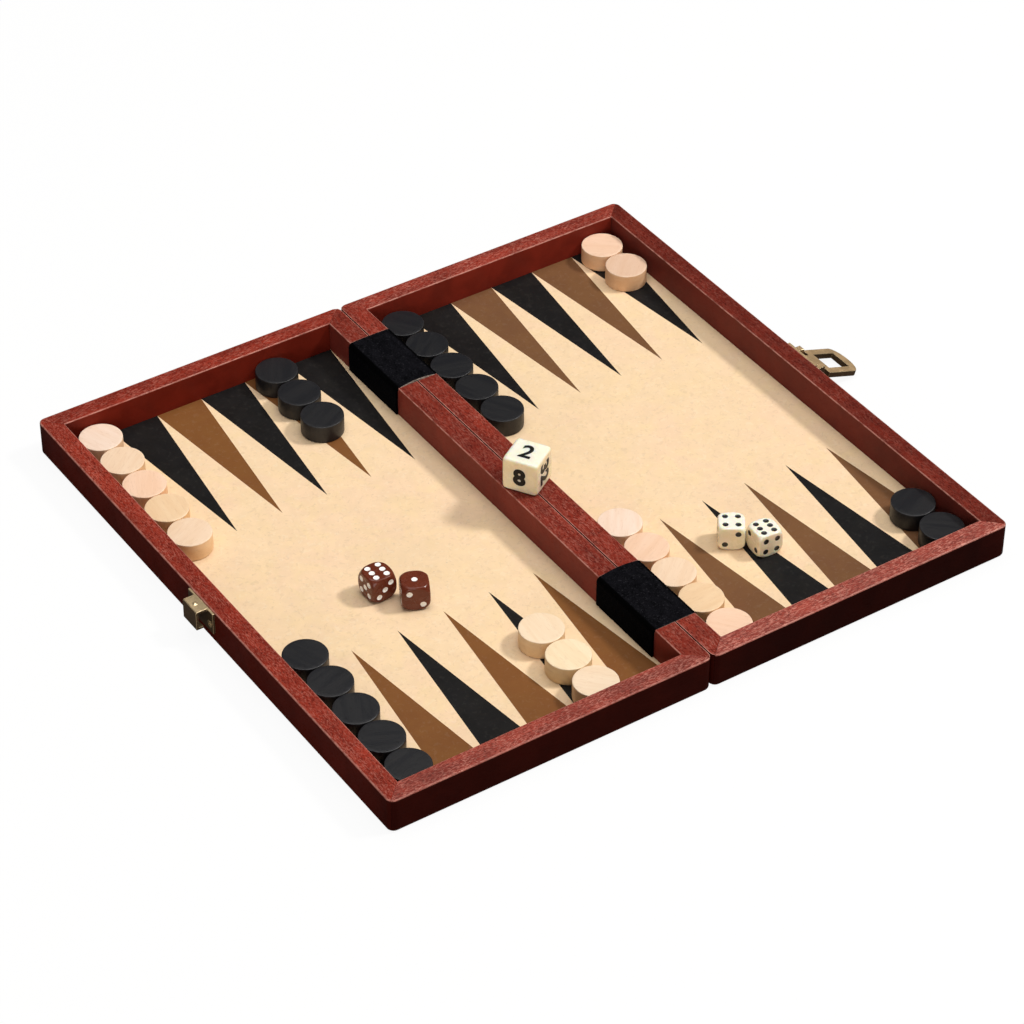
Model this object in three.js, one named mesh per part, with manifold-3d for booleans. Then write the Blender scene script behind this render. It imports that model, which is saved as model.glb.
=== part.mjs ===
// Magnetic travel backgammon board, open and set up for the start of a game.
// Two mitred wooden trays fold together on velvet straps and close with a brass loop and catch.
// Each tray holds a bottom panel, a steel sheet and a printed field, and the checkers carry magnets.
// Millimetres. x crosses both halves, y runs along the seam between them, and z is up from the table.
// Everything is drawn from the seam at x = 0, and the finished board is centred on its footprint.
import * as THREE from "three";
import { RoundedBoxGeometry } from "three/addons/geometries/RoundedBoxGeometry.js";
import { mergeVertices } from "three/addons/utils/BufferGeometryUtils.js";
import Module from "manifold-3d";

// Field
const pointPitch = 20; // width of one printed point
const pointsPerSide = 6;
const fieldGap = 0.1; // round the field, inside the rails
const innerLength = 241.6; // clear length of a tray along the seam

// Rails
const railWidth = 8; // outer, near and far rails
const hingeRailWidth = 8.85; // rail beside the seam
const railHeight = 15;
const seamGap = 0.3; // between the two halves, open or closed
const cornerRadius = 3; // upright outer corners
const topEdgeRadius = 0.6;
const bottomEdgeRadius = 1.4;
const mitreGap = 0.1; // glue line
const mitreOver = 0.5; // mitre cut past each corner, as a share of the rail's width
const rabbetWidth = 3; // step that takes the bottom panel

// Layers of a tray, from below
const panelInset = 0.2; // panel stands clear of the table
const panelThickness = 1.2;
const steelThickness = 0.35;
const printThickness = 0.25;
const layerGap = 0.05; // glue between layers

// Velvet strap hinges
const strapLength = 36; // along the seam
const strapShare = 0.36; // strap's middle from the board's, as a share of the inner length
const strapThickness = 0.9;
const strapBend = 0.7; // outer radius where the strap turns down
const strapGap = 0.1; // between the strap and the wood

// Brass latch
const plateWidth = 18;
const plateHeight = 9.4;
const plateThickness = 1;
const plateDrop = 0.4; // plate top below the rail top
const plateGap = 0.05; // between a plate and the rail
const hookWidth = 9.8;
const hookDepth = 4.6; // from the plate's face to the lip's outer face
const hookThickness = 1;
const hookBend = 0.9;
const hookRise = 1; // lip's lower edge above the plate's
const hookReturn = 3; // how far the lip turns back in below
const pivotOut = 3.4; // loop pivot, out from the rail's face
const pivotDrop = 6.8; // loop pivot, below the rail top
const loopThickness = 2.4;
const loopHalfWidth = 9;
const loopReach = 21.8; // from the pivot to the end of the loop
const loopCrown = 3.8; // length of the loop's half-oval end
const loopRest = 0.1; // end of the open loop above the table
const loopRootHalf = 5; // half width between the lugs
const loopRootBack = 1; // behind the pivot
const latchClearance = 0.3; // between the loop and the catch or the lugs it swings past
const windowMargin = 0.35; // window wider than the hook, on each side
const windowSlack = 1.6; // window longer than the hook needs
const pinRadius = 0.8;
const pinClearance = 0.2;
const lugRadius = 2.4;
const lugRise = 3.4; // flat top of a lug above the pivot
const lugWidth = 3;
const lugGap = 0.3; // beside the loop's root
const screwHeadRadius = 1.5;
const screwHeadHeight = 0.55;
const screwCrown = { radius: 1.05, height: 0.44 }; // where the head's dome turns flatter
const screwShankRadius = 0.8;
const screwTip = { radius: 0.4, length: 1.4 };
const screwLength = 5.5;
const screwClearance = 0.15;
const catchScrewEdge = 2.2; // from the end of the catch's plate to its screws
const catchScrew = { across: plateWidth / 2 - catchScrewEdge, below: 5.8 }; // from its middle and top
const bracketScrew = { across: 3, below: 2 };

// Loose pieces
const checkerDiameter = 17.2;
const checkerHeight = 7.6;
const checkerEdge = 0.5;
const checkerGap = 0.2; // between neighbours in a row
const magnetDiameter = 8;
const magnetInset = 0.3; // magnet face above the checker's underside
const seatGap = 0.1; // under every loose piece
const dieSize = { brown: 10.8, ivory: 10.4 };
const dieEdge = 0.6;
const dieBall = 0.735; // radius of the ball that trims the corners, as a share of the die's size
const pipRadius = 1.1;
const pipDepth = 0.4;
const pipSpread = 0.235; // between pips, as a share of the die's size
const cubeSize = 14.6;
const cubeEdge = 1.3;

// Facets
const cornerSteps = 5;
const edgeSteps = 2;
const checkerSteps = 20;
const roundSteps = 16;
const ballSteps = 24;
const pipSteps = 6;
const boxSteps = 2;
const cutOver = 1; // how far a cutting shape runs past what it cuts

// Where the checkers stand: a row grows from the wall along one point
// A row may start away from the wall, stand aside of its point and lean aside with each checker
const rows = [
  { colour: "light", half: "left", point: 1, wall: "far", count: 5, aside: 0.5 },
  { colour: "light", half: "right", point: 6, wall: "far", count: 2, aside: -0.5 },
  { colour: "light", half: "right", point: 1, wall: "near", count: 5, start: 0.3, aside: 0.7 },
  { colour: "light", half: "left", point: 5, wall: "near", count: 3, start: 0.9 },
  { colour: "dark", half: "left", point: 5, wall: "far", count: 3, start: 0.3, aside: -0.25 },
  { colour: "dark", half: "right", point: 1, wall: "far", count: 5, start: 1, aside: 0.5, lean: 0.55 },
  { colour: "dark", half: "left", point: 1, wall: "near", count: 5, start: 1.1, aside: 0.6 },
  { colour: "dark", half: "right", point: 6, wall: "near", count: 2, start: 1.1, aside: 0.8 },
];

// Where the dice lie, in points from the bar and in shares of the inner length, and what they show
const dice = [
  { colour: "brown", points: -3.25, along: -0.0795, turn: 1, top: 6, front: 3, left: 5, slant: 1 },
  { colour: "brown", points: -2.8, along: -0.1275, turn: -25, top: 1, front: 2, left: 4, slant: -1 },
  { colour: "ivory", points: 2.223, along: -0.2781, turn: -34, top: 4, front: 2, left: 6, slant: 1 },
  { colour: "ivory", points: 2.63, along: -0.3195, turn: -5, top: 6, front: 4, left: 2, slant: -1 },
];
const cubePlace = { across: 0.25, along: -0.0333, turn: 32 };

// Sizes that follow
const fieldWidth = pointsPerSide * pointPitch;
const innerWidth = fieldWidth + 2 * fieldGap;
const seamFace = seamGap / 2;
const innerNear = seamFace + hingeRailWidth; // inner face of the hinge rail
const innerFar = innerNear + innerWidth; // inner face of the outer rail
const outerFace = innerFar + railWidth;
const halfInner = innerLength / 2;
const halfLength = halfInner + railWidth;
const strapCentre = strapShare * innerLength;
const panelTop = panelInset + panelThickness;
const steelBottom = panelTop + layerGap;
const printBottom = steelBottom + steelThickness + layerGap;
const fieldTop = printBottom + printThickness;
const plateTop = railHeight - plateDrop;
const plateBottom = plateTop - plateHeight;
const plateInner = outerFace + plateGap;
const plateOuter = plateInner + plateThickness;
const lipReach = plateOuter + hookDepth;
const pivot = { x: outerFace + pivotOut, z: railHeight - pivotDrop };
// With the board shut the pivot stands this far above the catch's top and its lip's lower edge
const pivotToHookTop = pivotDrop + seamGap + plateDrop;
const pivotToLipEnd = pivotToHookTop + plateHeight - hookRise;
const pivotToLipFace = plateGap + plateThickness + hookDepth - pivotOut;
const shoulderStart = Math.hypot(lugRadius, lugRise) + latchClearance;
const windowStart = pivotToHookTop - latchClearance;
const windowEnd = Math.hypot(pivotToLipEnd, pivotToLipFace) + latchClearance + windowSlack;
const windowHalfWidth = hookWidth / 2 + windowMargin;

// Finishes
function finish(color, roughness, metalness = 0) {
  return new THREE.MeshStandardMaterial({ color, roughness, metalness });
}
const mahogany = finish(0x6e241a, 0.42);
const stainedPanel = finish(0x5c2418, 0.55);
const steel = finish(0x7d8184, 0.45, 1);
const printedPaper = finish(0xe3c596, 0.6);
const velvet = finish(0x08080a, 0.95);
const brass = finish(0x9c8350, 0.35, 1);
const checkerWood = { light: finish(0xe2b98c, 0.5), dark: finish(0x16161a, 0.45) };
const dicePlastic = { brown: finish(0x5b2014, 0.25), ivory: finish(0xe9e2c4, 0.25) };

// Solids: closed geometries that can be joined and cut
const wasm = await Module();
wasm.setup();

function solid(geometry) {
  const bare = geometry.clone();
  bare.deleteAttribute("normal");
  bare.deleteAttribute("uv");
  const merged = mergeVertices(bare, 1e-4);
  const vertProperties = new Float32Array(merged.attributes.position.array);
  const triVerts = new Uint32Array(merged.index.array);
  return new wasm.Manifold(new wasm.Mesh({ numProp: 3, vertProperties, triVerts }));
}

function geometryOf(body) {
  const { vertProperties, triVerts } = body.getMesh();
  return new THREE.BufferGeometry()
    .setAttribute("position", new THREE.BufferAttribute(vertProperties, 3))
    .setIndex(new THREE.BufferAttribute(triVerts, 1));
}

function piece(parent, name, shape, material) {
  const mesh = new THREE.Mesh(shape.isBufferGeometry ? shape : geometryOf(shape), material);
  mesh.name = name;
  parent.add(mesh);
  return mesh;
}

// Block between two corners; either corner may be the lower one
function block([x0, y0, z0], [x1, y1, z1]) {
  const box = new THREE.BoxGeometry(Math.abs(x1 - x0), Math.abs(y1 - y0), Math.abs(z1 - z0));
  return box.translate((x0 + x1) / 2, (y0 + y1) / 2, (z0 + z1) / 2);
}

// Upright prism over a plan outline
function prism(shape, z0, z1) {
  return new THREE.ExtrudeGeometry(shape, { depth: z1 - z0, bevelEnabled: false }).translate(0, 0, z0);
}

// Bar along y whose outline is drawn in x and z
function bar(shape, y0, y1) {
  const run = new THREE.ExtrudeGeometry(shape, {
    depth: y1 - y0,
    bevelEnabled: false,
    curveSegments: roundSteps / 2,
  });
  return run.rotateX(Math.PI / 2).translate(0, y1, 0);
}

// Round pin along x or along y
function pinAlongX(radius, x0, x1, y, z) {
  const rod = new THREE.CylinderGeometry(radius, radius, Math.abs(x1 - x0), roundSteps);
  return rod.rotateZ(Math.PI / 2).translate((x0 + x1) / 2, y, z);
}

function pinAlongY(radius, y0, y1, x, z) {
  const rod = new THREE.CylinderGeometry(radius, radius, y1 - y0, roundSteps);
  return rod.translate(x, (y0 + y1) / 2, z);
}

// Plan outline of a tray with round upright corners
function trayOutline(x0, x1) {
  const r = cornerRadius;
  const shape = new THREE.Shape();
  shape.moveTo(x0 + r, -halfLength);
  shape.absarc(x1 - r, -halfLength + r, r, -Math.PI / 2, 0);
  shape.absarc(x1 - r, halfLength - r, r, 0, Math.PI / 2);
  shape.absarc(x0 + r, halfLength - r, r, Math.PI / 2, Math.PI);
  shape.absarc(x0 + r, -halfLength + r, r, Math.PI, Math.PI * 1.5);
  return shape;
}

// Slab over that outline whose upper and lower edges are rounded
function roundedSlab(x0, x1, z0, z1, radius) {
  const slab = new THREE.ExtrudeGeometry(trayOutline(x0, x1), {
    depth: z1 - z0 - 2 * radius,
    bevelThickness: radius,
    bevelSize: radius,
    bevelOffset: -radius,
    bevelSegments: edgeSteps,
    curveSegments: cornerSteps,
  });
  return solid(slab.translate(0, 0, z0 + radius));
}

// Whole frame of one tray before its mitres are cut: rounded outside, square inside, rabbet below
function trayFrame(x0, x1, in0, in1) {
  const lowerEdges = roundedSlab(x0, x1, 0, railHeight + 2 * railWidth, bottomEdgeRadius);
  const upperEdges = roundedSlab(x0, x1, -2 * railWidth, railHeight, topEdgeRadius);
  const well = block([in0, -halfInner, -cutOver], [in1, halfInner, railHeight + cutOver]);
  const rabbet = block(
    [in0 - rabbetWidth, -halfInner - rabbetWidth, -cutOver],
    [in1 + rabbetWidth, halfInner + rabbetWidth, panelTop + layerGap],
  );
  return lowerEdges.intersect(upperEdges).subtract(solid(well)).subtract(solid(rabbet));
}

// Plan wedge between the two mitres of a rail: from corner a to corner b, outside and inside
function mitreWedge(outerA, outerB, innerB, innerA) {
  const along = new THREE.Vector2().subVectors(outerB, outerA).normalize();
  const trim = along.multiplyScalar(mitreGap / Math.SQRT2);
  const past = (from, to, shift) => to.clone().lerp(from, -mitreOver).add(shift);
  const back = trim.clone().negate();
  const corners = [
    past(innerA, outerA, trim),
    past(innerB, outerB, back),
    past(outerB, innerB, back),
    past(outerA, innerA, trim),
  ];
  return solid(prism(new THREE.Shape(corners), -cutOver, railHeight + cutOver));
}

// Recess in a hinge rail's top for one strap
function strapRecess(side, centre) {
  const half = strapLength / 2 + strapGap;
  const depth = strapThickness + strapGap;
  return solid(
    block(
      [side * (seamFace - cutOver), centre - half, railHeight - depth],
      [side * (innerNear + cutOver), centre + half, railHeight + cutOver],
    ),
  );
}

// Pilot holes of two latch screws in an outer rail
function pilotHoles(side, screw) {
  const hole = (y) =>
    solid(
      pinAlongX(
        screwShankRadius + screwClearance,
        side * (plateOuter + cutOver),
        side * (plateOuter - screwLength - screwClearance),
        y,
        plateTop - screw.below,
      ),
    );
  return hole(screw.across).add(hole(-screw.across));
}

// Tray: four mitred rails, bottom panel, steel sheet and printed field
function makeTray(half) {
  const side = half === "left" ? -1 : 1;
  const tray = new THREE.Group();
  const x0 = Math.min(side * seamFace, side * outerFace);
  const x1 = Math.max(side * seamFace, side * outerFace);
  const in0 = Math.min(side * innerNear, side * innerFar);
  const in1 = Math.max(side * innerNear, side * innerFar);
  const frame = trayFrame(x0, x1, in0, in1);
  const at = (x, y) => new THREE.Vector2(x, y);
  const outer = [at(x0, -halfLength), at(x1, -halfLength), at(x1, halfLength), at(x0, halfLength)];
  const inner = [at(in0, -halfInner), at(in1, -halfInner), at(in1, halfInner), at(in0, halfInner)];
  const rail = (a, b) => frame.intersect(mitreWedge(outer[a], outer[b], inner[b], inner[a]));
  const [hingeEnds, outerEnds] = side < 0 ? [[1, 2], [3, 0]] : [[3, 0], [1, 2]];
  const recesses = strapRecess(side, strapCentre).add(strapRecess(side, -strapCentre));
  const holes = pilotHoles(side, side < 0 ? catchScrew : bracketScrew);
  piece(tray, `${half}_near_rail`, rail(0, 1), mahogany);
  piece(tray, `${half}_far_rail`, rail(2, 3), mahogany);
  piece(tray, `${half}_hinge_rail`, rail(...hingeEnds).subtract(recesses), mahogany);
  piece(tray, `${half}_outer_rail`, rail(...outerEnds).subtract(holes), mahogany);

  const panelOver = rabbetWidth - fieldGap; // panel past the inner faces
  const layer = (name, over, z, thickness, material) => {
    const sheet = block(
      [in0 - over, -halfInner - over, z],
      [in1 + over, halfInner + over, z + thickness],
    );
    piece(tray, `${half}_${name}`, sheet, material);
  };
  layer("bottom_panel", panelOver, panelInset, panelThickness, stainedPanel);
  layer("steel_sheet", -fieldGap, steelBottom, steelThickness, steel);
  layer("printed_field", -fieldGap, printBottom, printThickness, printedPaper);
  return tray;
}

// Strap leaf: over the rail's top from the seam, round the edge and down the inner face to the field
function strapLeaf(side, centre) {
  const t = strapThickness;
  const face = innerNear + strapGap;
  const low = fieldTop + strapGap;
  const shape = new THREE.Shape();
  shape.moveTo(side * seamFace, railHeight - t);
  shape.lineTo(side * face, railHeight - t);
  shape.lineTo(side * face, low);
  shape.lineTo(side * (face + t), low);
  shape.lineTo(side * (face + t), railHeight - strapBend);
  shape.quadraticCurveTo(side * (face + t), railHeight, side * (face + t - strapBend), railHeight);
  shape.lineTo(side * seamFace, railHeight);
  return bar(shape, centre - strapLength / 2, centre + strapLength / 2);
}

// Latch plate on an outer rail, with its two screw holes
function latchPlate(side, screw) {
  const plate = block(
    [side * plateInner, -plateWidth / 2, plateBottom],
    [side * plateOuter, plateWidth / 2, plateTop],
  );
  return solid(plate).subtract(pilotHoles(side, screw));
}

// Catch: plate with a hook that turns down and back in below
function makeCatch() {
  const t = hookThickness;
  const low = plateBottom + hookRise;
  const hook = new THREE.Shape();
  hook.moveTo(-plateInner, plateTop);
  hook.lineTo(-lipReach + hookBend, plateTop);
  hook.quadraticCurveTo(-lipReach, plateTop, -lipReach, plateTop - hookBend);
  hook.lineTo(-lipReach, low);
  hook.lineTo(-lipReach + hookReturn, low);
  hook.lineTo(-lipReach + hookReturn, low + t);
  hook.lineTo(-lipReach + t, low + t);
  hook.lineTo(-lipReach + t, plateTop - t);
  hook.lineTo(-plateInner, plateTop - t);
  return latchPlate(-1, catchScrew).add(solid(bar(hook, -hookWidth / 2, hookWidth / 2)));
}

// Bracket: plate with two lugs that carry the loop's pins
function makeBracket() {
  const lug = new THREE.Shape();
  lug.moveTo(plateInner, pivot.z - lugRadius);
  lug.lineTo(pivot.x, pivot.z - lugRadius);
  lug.absarc(pivot.x, pivot.z, lugRadius, -Math.PI / 2, 0);
  lug.lineTo(pivot.x + lugRadius, pivot.z + lugRise);
  lug.lineTo(plateInner, pivot.z + lugRise);
  const start = loopRootHalf + lugGap;
  const past = start + lugWidth + cutOver;
  const bore = pinAlongY(pinRadius + pinClearance, -past, past, pivot.x, pivot.z);
  return latchPlate(1, bracketScrew)
    .add(solid(bar(lug, start, start + lugWidth)))
    .add(solid(bar(lug, -start - lugWidth, -start)))
    .subtract(solid(bore));
}

// Swing loop, drawn flat with its pivot at the origin: root between the lugs, window, half-oval end
function makeLoop() {
  const quarter = Math.PI / 2;
  const outline = new THREE.Shape();
  outline.moveTo(-loopRootBack, -loopRootHalf);
  outline.lineTo(shoulderStart, -loopRootHalf);
  outline.lineTo(shoulderStart, -loopHalfWidth);
  outline.absellipse(loopReach - loopCrown, 0, loopCrown, loopHalfWidth, -quarter, quarter);
  outline.lineTo(shoulderStart, loopHalfWidth);
  outline.lineTo(shoulderStart, loopRootHalf);
  outline.lineTo(-loopRootBack, loopRootHalf);
  const window = new THREE.Path();
  window.moveTo(windowStart, -windowHalfWidth);
  window.lineTo(windowStart, windowHalfWidth);
  window.lineTo(windowEnd, windowHalfWidth);
  window.lineTo(windowEnd, -windowHalfWidth);
  outline.holes.push(window);
  return outline;
}

// Domed screw through a latch plate into an outer rail
function latchScrew(side, y, z) {
  const tip = plateOuter - screwLength;
  const seat = plateOuter + layerGap;
  const profile = [
    [0, tip],
    [screwTip.radius, tip],
    [screwShankRadius, tip + screwTip.length],
    [screwShankRadius, seat],
    [screwHeadRadius, seat],
    [screwCrown.radius, seat + screwCrown.height],
    [0, seat + screwHeadHeight],
  ].map(([r, x]) => new THREE.Vector2(r, x));
  const turned = new THREE.LatheGeometry(profile, roundSteps / 2);
  return turned.rotateZ((-side * Math.PI) / 2).translate(0, y, z);
}

// Checker: turned disc with eased edges, and its magnet let into the underside
function checkerShape() {
  const r = checkerDiameter / 2;
  const profile = [
    [0, magnetInset],
    [magnetDiameter / 2, magnetInset],
    [magnetDiameter / 2, 0],
    [r - checkerEdge, 0],
    [r, checkerEdge],
    [r, checkerHeight - checkerEdge],
    [r - checkerEdge, checkerHeight],
    [0, checkerHeight],
  ].map(([x, y]) => new THREE.Vector2(x, y));
  return new THREE.LatheGeometry(profile, checkerSteps).rotateX(Math.PI / 2);
}

// Spots of one face, in steps across and up the face; slant says which diagonal comes first
function pipSpots(number, slant) {
  const spots = number % 2 ? [[0, 0]] : [];
  if (number > 1) spots.push([-1, -slant], [1, slant]);
  if (number > 3) spots.push([-1, slant], [1, -slant]);
  if (number === 6) spots.push([-1, 0], [1, 0]);
  return spots;
}

// Die: cube trimmed by a ball, with drilled pips, opposite faces adding up to seven
function dieShape({ colour, top, front, left, slant }) {
  const size = dieSize[colour];
  const half = size / 2;
  const drillTop = pipRadius / pipDepth; // slope of the drill's cone
  const drill = new THREE.ConeGeometry(pipRadius + cutOver * drillTop, pipDepth + cutOver, pipSteps);
  drill.rotateX(-Math.PI / 2).translate(0, 0, half - pipDepth + (pipDepth + cutOver) / 2);
  const quarter = Math.PI / 2;
  const faces = [
    [top, new THREE.Euler(0, 0, 0)],
    [7 - top, new THREE.Euler(Math.PI, 0, 0)],
    [front, new THREE.Euler(quarter, 0, 0)],
    [7 - front, new THREE.Euler(-quarter, 0, 0)],
    [left, new THREE.Euler(quarter, -quarter, 0)],
    [7 - left, new THREE.Euler(quarter, quarter, 0)],
  ];
  const ball = new THREE.SphereGeometry(dieBall * size, ballSteps, ballSteps / 2);
  let body = solid(new RoundedBoxGeometry(size, size, size, boxSteps, dieEdge)).intersect(solid(ball));
  for (const [number, turn] of faces) {
    const place = new THREE.Matrix4().makeRotationFromEuler(turn);
    for (const [a, b] of pipSpots(number, slant)) {
      const pip = drill.clone().translate(a * pipSpread * size, b * pipSpread * size, 0);
      body = body.subtract(solid(pip.applyMatrix4(place)));
    }
  }
  return body;
}

// Middle of a printed point, counted from the left in its half
function pointMiddle(half, point) {
  const start = half === "left" ? -innerFar : innerNear;
  return start + fieldGap + (point - 0.5) * pointPitch;
}

// Outermost points of the footprint: the catch's lip on the left and the end of the open loop on the right
const loopRadius = Math.hypot(loopReach, loopThickness / 2); // to the lower edge of the loop's end
const droop = Math.asin((pivot.z - loopRest) / loopRadius) - Math.atan2(loopThickness / 2, loopReach);
const loopEnd = pivot.x + loopReach * Math.cos(droop) + (loopThickness / 2) * Math.sin(droop);

const board = new THREE.Group();
board.position.x = (lipReach - loopEnd) / 2;
const leftTray = makeTray("left");
const rightTray = makeTray("right");
board.add(leftTray, rightTray);

for (const [tray, half, side] of [[leftTray, "left", -1], [rightTray, "right", 1]]) {
  for (const [end, centre] of [["far", strapCentre], ["near", -strapCentre]]) {
    piece(tray, `${end}_strap_${half}_leaf`, strapLeaf(side, centre), velvet);
  }
}

piece(leftTray, "latch_catch", makeCatch(), brass);
piece(rightTray, "latch_bracket", makeBracket(), brass);
for (const [tray, name, side, screw] of [
  [leftTray, "catch_screw", -1, catchScrew],
  [rightTray, "bracket_screw", 1, bracketScrew],
]) {
  for (const [end, sign] of [["near", -1], ["far", 1]]) {
    const head = latchScrew(side, sign * screw.across, plateTop - screw.below);
    piece(tray, `${end}_${name}`, head, brass);
  }
}

const loopPlate = prism(makeLoop(), -loopThickness / 2, loopThickness / 2);
const pinReach = loopRootHalf + lugGap + lugWidth;
const loopPins = pinAlongY(pinRadius, -pinReach, pinReach, 0, 0);
const loop = piece(board, "latch_loop", solid(loopPlate).add(solid(loopPins)), brass);
loop.rotation.y = droop;
loop.position.set(pivot.x, 0, pivot.z);

const checker = checkerShape();
const made = { light: 0, dark: 0 };
for (const { colour, half, point, wall, count, start = 0, aside = 0, lean = 0 } of rows) {
  const sign = wall === "far" ? 1 : -1;
  for (let place = 0; place < count; place++) {
    made[colour] += 1;
    const disc = piece(board, `${colour}_checker_${made[colour]}`, checker, checkerWood[colour]);
    const fromWall = start + checkerGap + checkerDiameter / 2 + place * (checkerDiameter + checkerGap);
    const across = pointMiddle(half, point) + aside + lean * place;
    disc.position.set(across, sign * (halfInner - fromWall), fieldTop + seatGap);
  }
}

const thrown = { brown: 0, ivory: 0 };
for (const spec of dice) {
  thrown[spec.colour] += 1;
  const name = `${spec.colour}_die_${thrown[spec.colour]}`;
  const die = piece(board, name, dieShape(spec), dicePlastic[spec.colour]);
  const across = spec.points * pointPitch + Math.sign(spec.points) * innerNear;
  const height = fieldTop + seatGap + dieSize[spec.colour] / 2;
  die.position.set(across, spec.along * innerLength, height);
  die.rotation.z = THREE.MathUtils.degToRad(spec.turn);
}

const cubeShape = new RoundedBoxGeometry(cubeSize, cubeSize, cubeSize, boxSteps, cubeEdge);
const cube = piece(board, "doubling_cube", cubeShape, dicePlastic.ivory);
const cubeHeight = railHeight + seatGap + cubeSize / 2;
cube.position.set(cubePlace.across, cubePlace.along * innerLength, cubeHeight);
cube.rotation.z = THREE.MathUtils.degToRad(cubePlace.turn);

export default board;
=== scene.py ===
# Magnetic backgammon board set up for a game: finishes, soft straps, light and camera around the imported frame
import math

import bmesh
import bpy
import numpy as np
from mathutils import Matrix, Vector


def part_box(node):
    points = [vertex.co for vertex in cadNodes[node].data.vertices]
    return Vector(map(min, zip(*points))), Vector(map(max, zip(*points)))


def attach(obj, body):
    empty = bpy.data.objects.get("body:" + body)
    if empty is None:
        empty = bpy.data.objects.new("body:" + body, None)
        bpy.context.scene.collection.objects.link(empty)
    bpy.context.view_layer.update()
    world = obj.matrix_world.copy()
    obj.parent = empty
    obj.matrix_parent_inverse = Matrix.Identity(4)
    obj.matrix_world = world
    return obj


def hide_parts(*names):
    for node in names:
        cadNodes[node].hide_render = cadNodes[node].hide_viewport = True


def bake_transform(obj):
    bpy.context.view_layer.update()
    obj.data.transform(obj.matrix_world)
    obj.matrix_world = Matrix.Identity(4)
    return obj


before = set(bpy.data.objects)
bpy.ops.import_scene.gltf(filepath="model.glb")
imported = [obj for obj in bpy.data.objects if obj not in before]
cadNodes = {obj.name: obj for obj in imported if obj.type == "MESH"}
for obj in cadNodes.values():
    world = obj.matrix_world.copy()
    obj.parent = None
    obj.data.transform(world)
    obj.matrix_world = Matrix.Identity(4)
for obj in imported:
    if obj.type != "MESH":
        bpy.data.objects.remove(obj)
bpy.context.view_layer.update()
mm = 0.001
hair = 1e-7  # lengths under this count as nothing
draw = np.random.default_rng(41)
print("frame loaded:", len(cadNodes), "nodes")


# Lowest and highest corner of a CAD node as arrays
def boxOf(name):
    low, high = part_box(name)
    return np.array(low), np.array(high)


seamX = (boxOf("left_hinge_rail")[1][0] + boxOf("right_hinge_rail")[0][0]) / 2
railTop = boxOf("left_hinge_rail")[1][2]
begun = []  # node trees; the shader helpers add to the last


# Shader helpers: sockets fed with a link or a value, and the nodes that every finish uses
def feed(socket, value):
    if isinstance(value, bpy.types.NodeSocket):
        begun[-1].links.new(value, socket)
    elif isinstance(value, tuple) and len(value) == 3 and socket.type == "RGBA":
        socket.default_value = (*value, 1)
    else:
        socket.default_value = value


def fill(sockets, values):
    for key, value in values.items():
        feed(sockets[key], value)


def addNode(kind, inputs=None, **settings):
    made = begun[-1].nodes.new(kind)
    for key, value in settings.items():
        setattr(made, key, value)
    fill(made.inputs, inputs or {})
    return made


def mixed(share, first, second, blend="MIX"):
    made = addNode("ShaderNodeMix", data_type="RGBA", blend_type=blend)
    fill(made.inputs, {0: share, 6: first, 7: second})
    return made.outputs[2]


def tinted(colour, tint):
    return mixed(1.0, colour, tint, "MULTIPLY")


def shaded(colour, share):
    grey = addNode("ShaderNodeCombineColor", {"Red": share, "Green": share, "Blue": share})
    return tinted(colour, grey.outputs[0])


def worked(operation, first, second=0.0):
    return addNode("ShaderNodeMath", {0: first, 1: second}, operation=operation).outputs[0]


def times(product, *factors):
    for factor in factors:
        product = worked("MULTIPLY", product, factor)
    return product


def between(value, low, high, toLow=0.0, toHigh=1.0):
    sockets = {"Value": value, "From Min": low, "From Max": high, "To Min": toLow, "To Max": toHigh}
    made = addNode("ShaderNodeMapRange", sockets, interpolation_type="SMOOTHSTEP")
    return made.outputs["Result"]


def noiseOf(at, scale=1.0, detail=2.0, roughness=0.5, distortion=0.0):
    sockets = {"Vector": at, "Scale": scale, "Detail": detail, "Roughness": roughness}
    return addNode("ShaderNodeTexNoise", sockets | {"Distortion": distortion}).outputs["Fac"]


def scaled(at, x, y, z):
    axes = addNode("ShaderNodeCombineXYZ", {"X": x, "Y": y, "Z": z})
    return addNode("ShaderNodeVectorMath", {0: at, 1: axes.outputs[0]}, operation="MULTIPLY").outputs[0]


def bumped(height, strength, distance):
    sockets = {"Height": height, "Strength": strength, "Distance": distance}
    return addNode("ShaderNodeBump", sockets).outputs["Normal"]


def attributeOf(name, output="Fac"):
    return addNode("ShaderNodeAttribute", attribute_name=name).outputs[output]


def grainPlace():
    return attributeOf("grainAt", "Vector")


def objectPlace():
    return addNode("ShaderNodeTexCoord").outputs["Object"]


# Share from 0 to 1 as a face turns from upright to level, by the upward part of its normal
def levelShare(low, high):
    normal = addNode("ShaderNodeTexCoord").outputs["Normal"]
    upward = addNode("ShaderNodeSeparateXYZ", {0: normal}).outputs["Z"]
    return between(worked("ABSOLUTE", upward), low, high)


# Node group with its inputs and outputs named; an input without a value is a place
def newGroup(name, inputs, outputs):
    tree = bpy.data.node_groups.new(name, "ShaderNodeTree")
    begun.append(tree)
    for label, value in inputs.items():
        kind = "NodeSocketVector" if value is None else "NodeSocketFloat"
        socket = tree.interface.new_socket(label, in_out="INPUT", socket_type=kind)
        if value is not None:
            socket.default_value = value
    for label in outputs:
        tree.interface.new_socket(label, in_out="OUTPUT", socket_type="NodeSocketFloat")
    return tree, addNode("NodeGroupInput").outputs, addNode("NodeGroupOutput").inputs


# Outputs of a group, with values in the order of its inputs
def useGroup(group, *values):
    made = addNode("ShaderNodeGroup", node_tree=group)
    for socket, value in zip(made.inputs, values):
        feed(socket, value)
    return made.outputs


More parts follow.
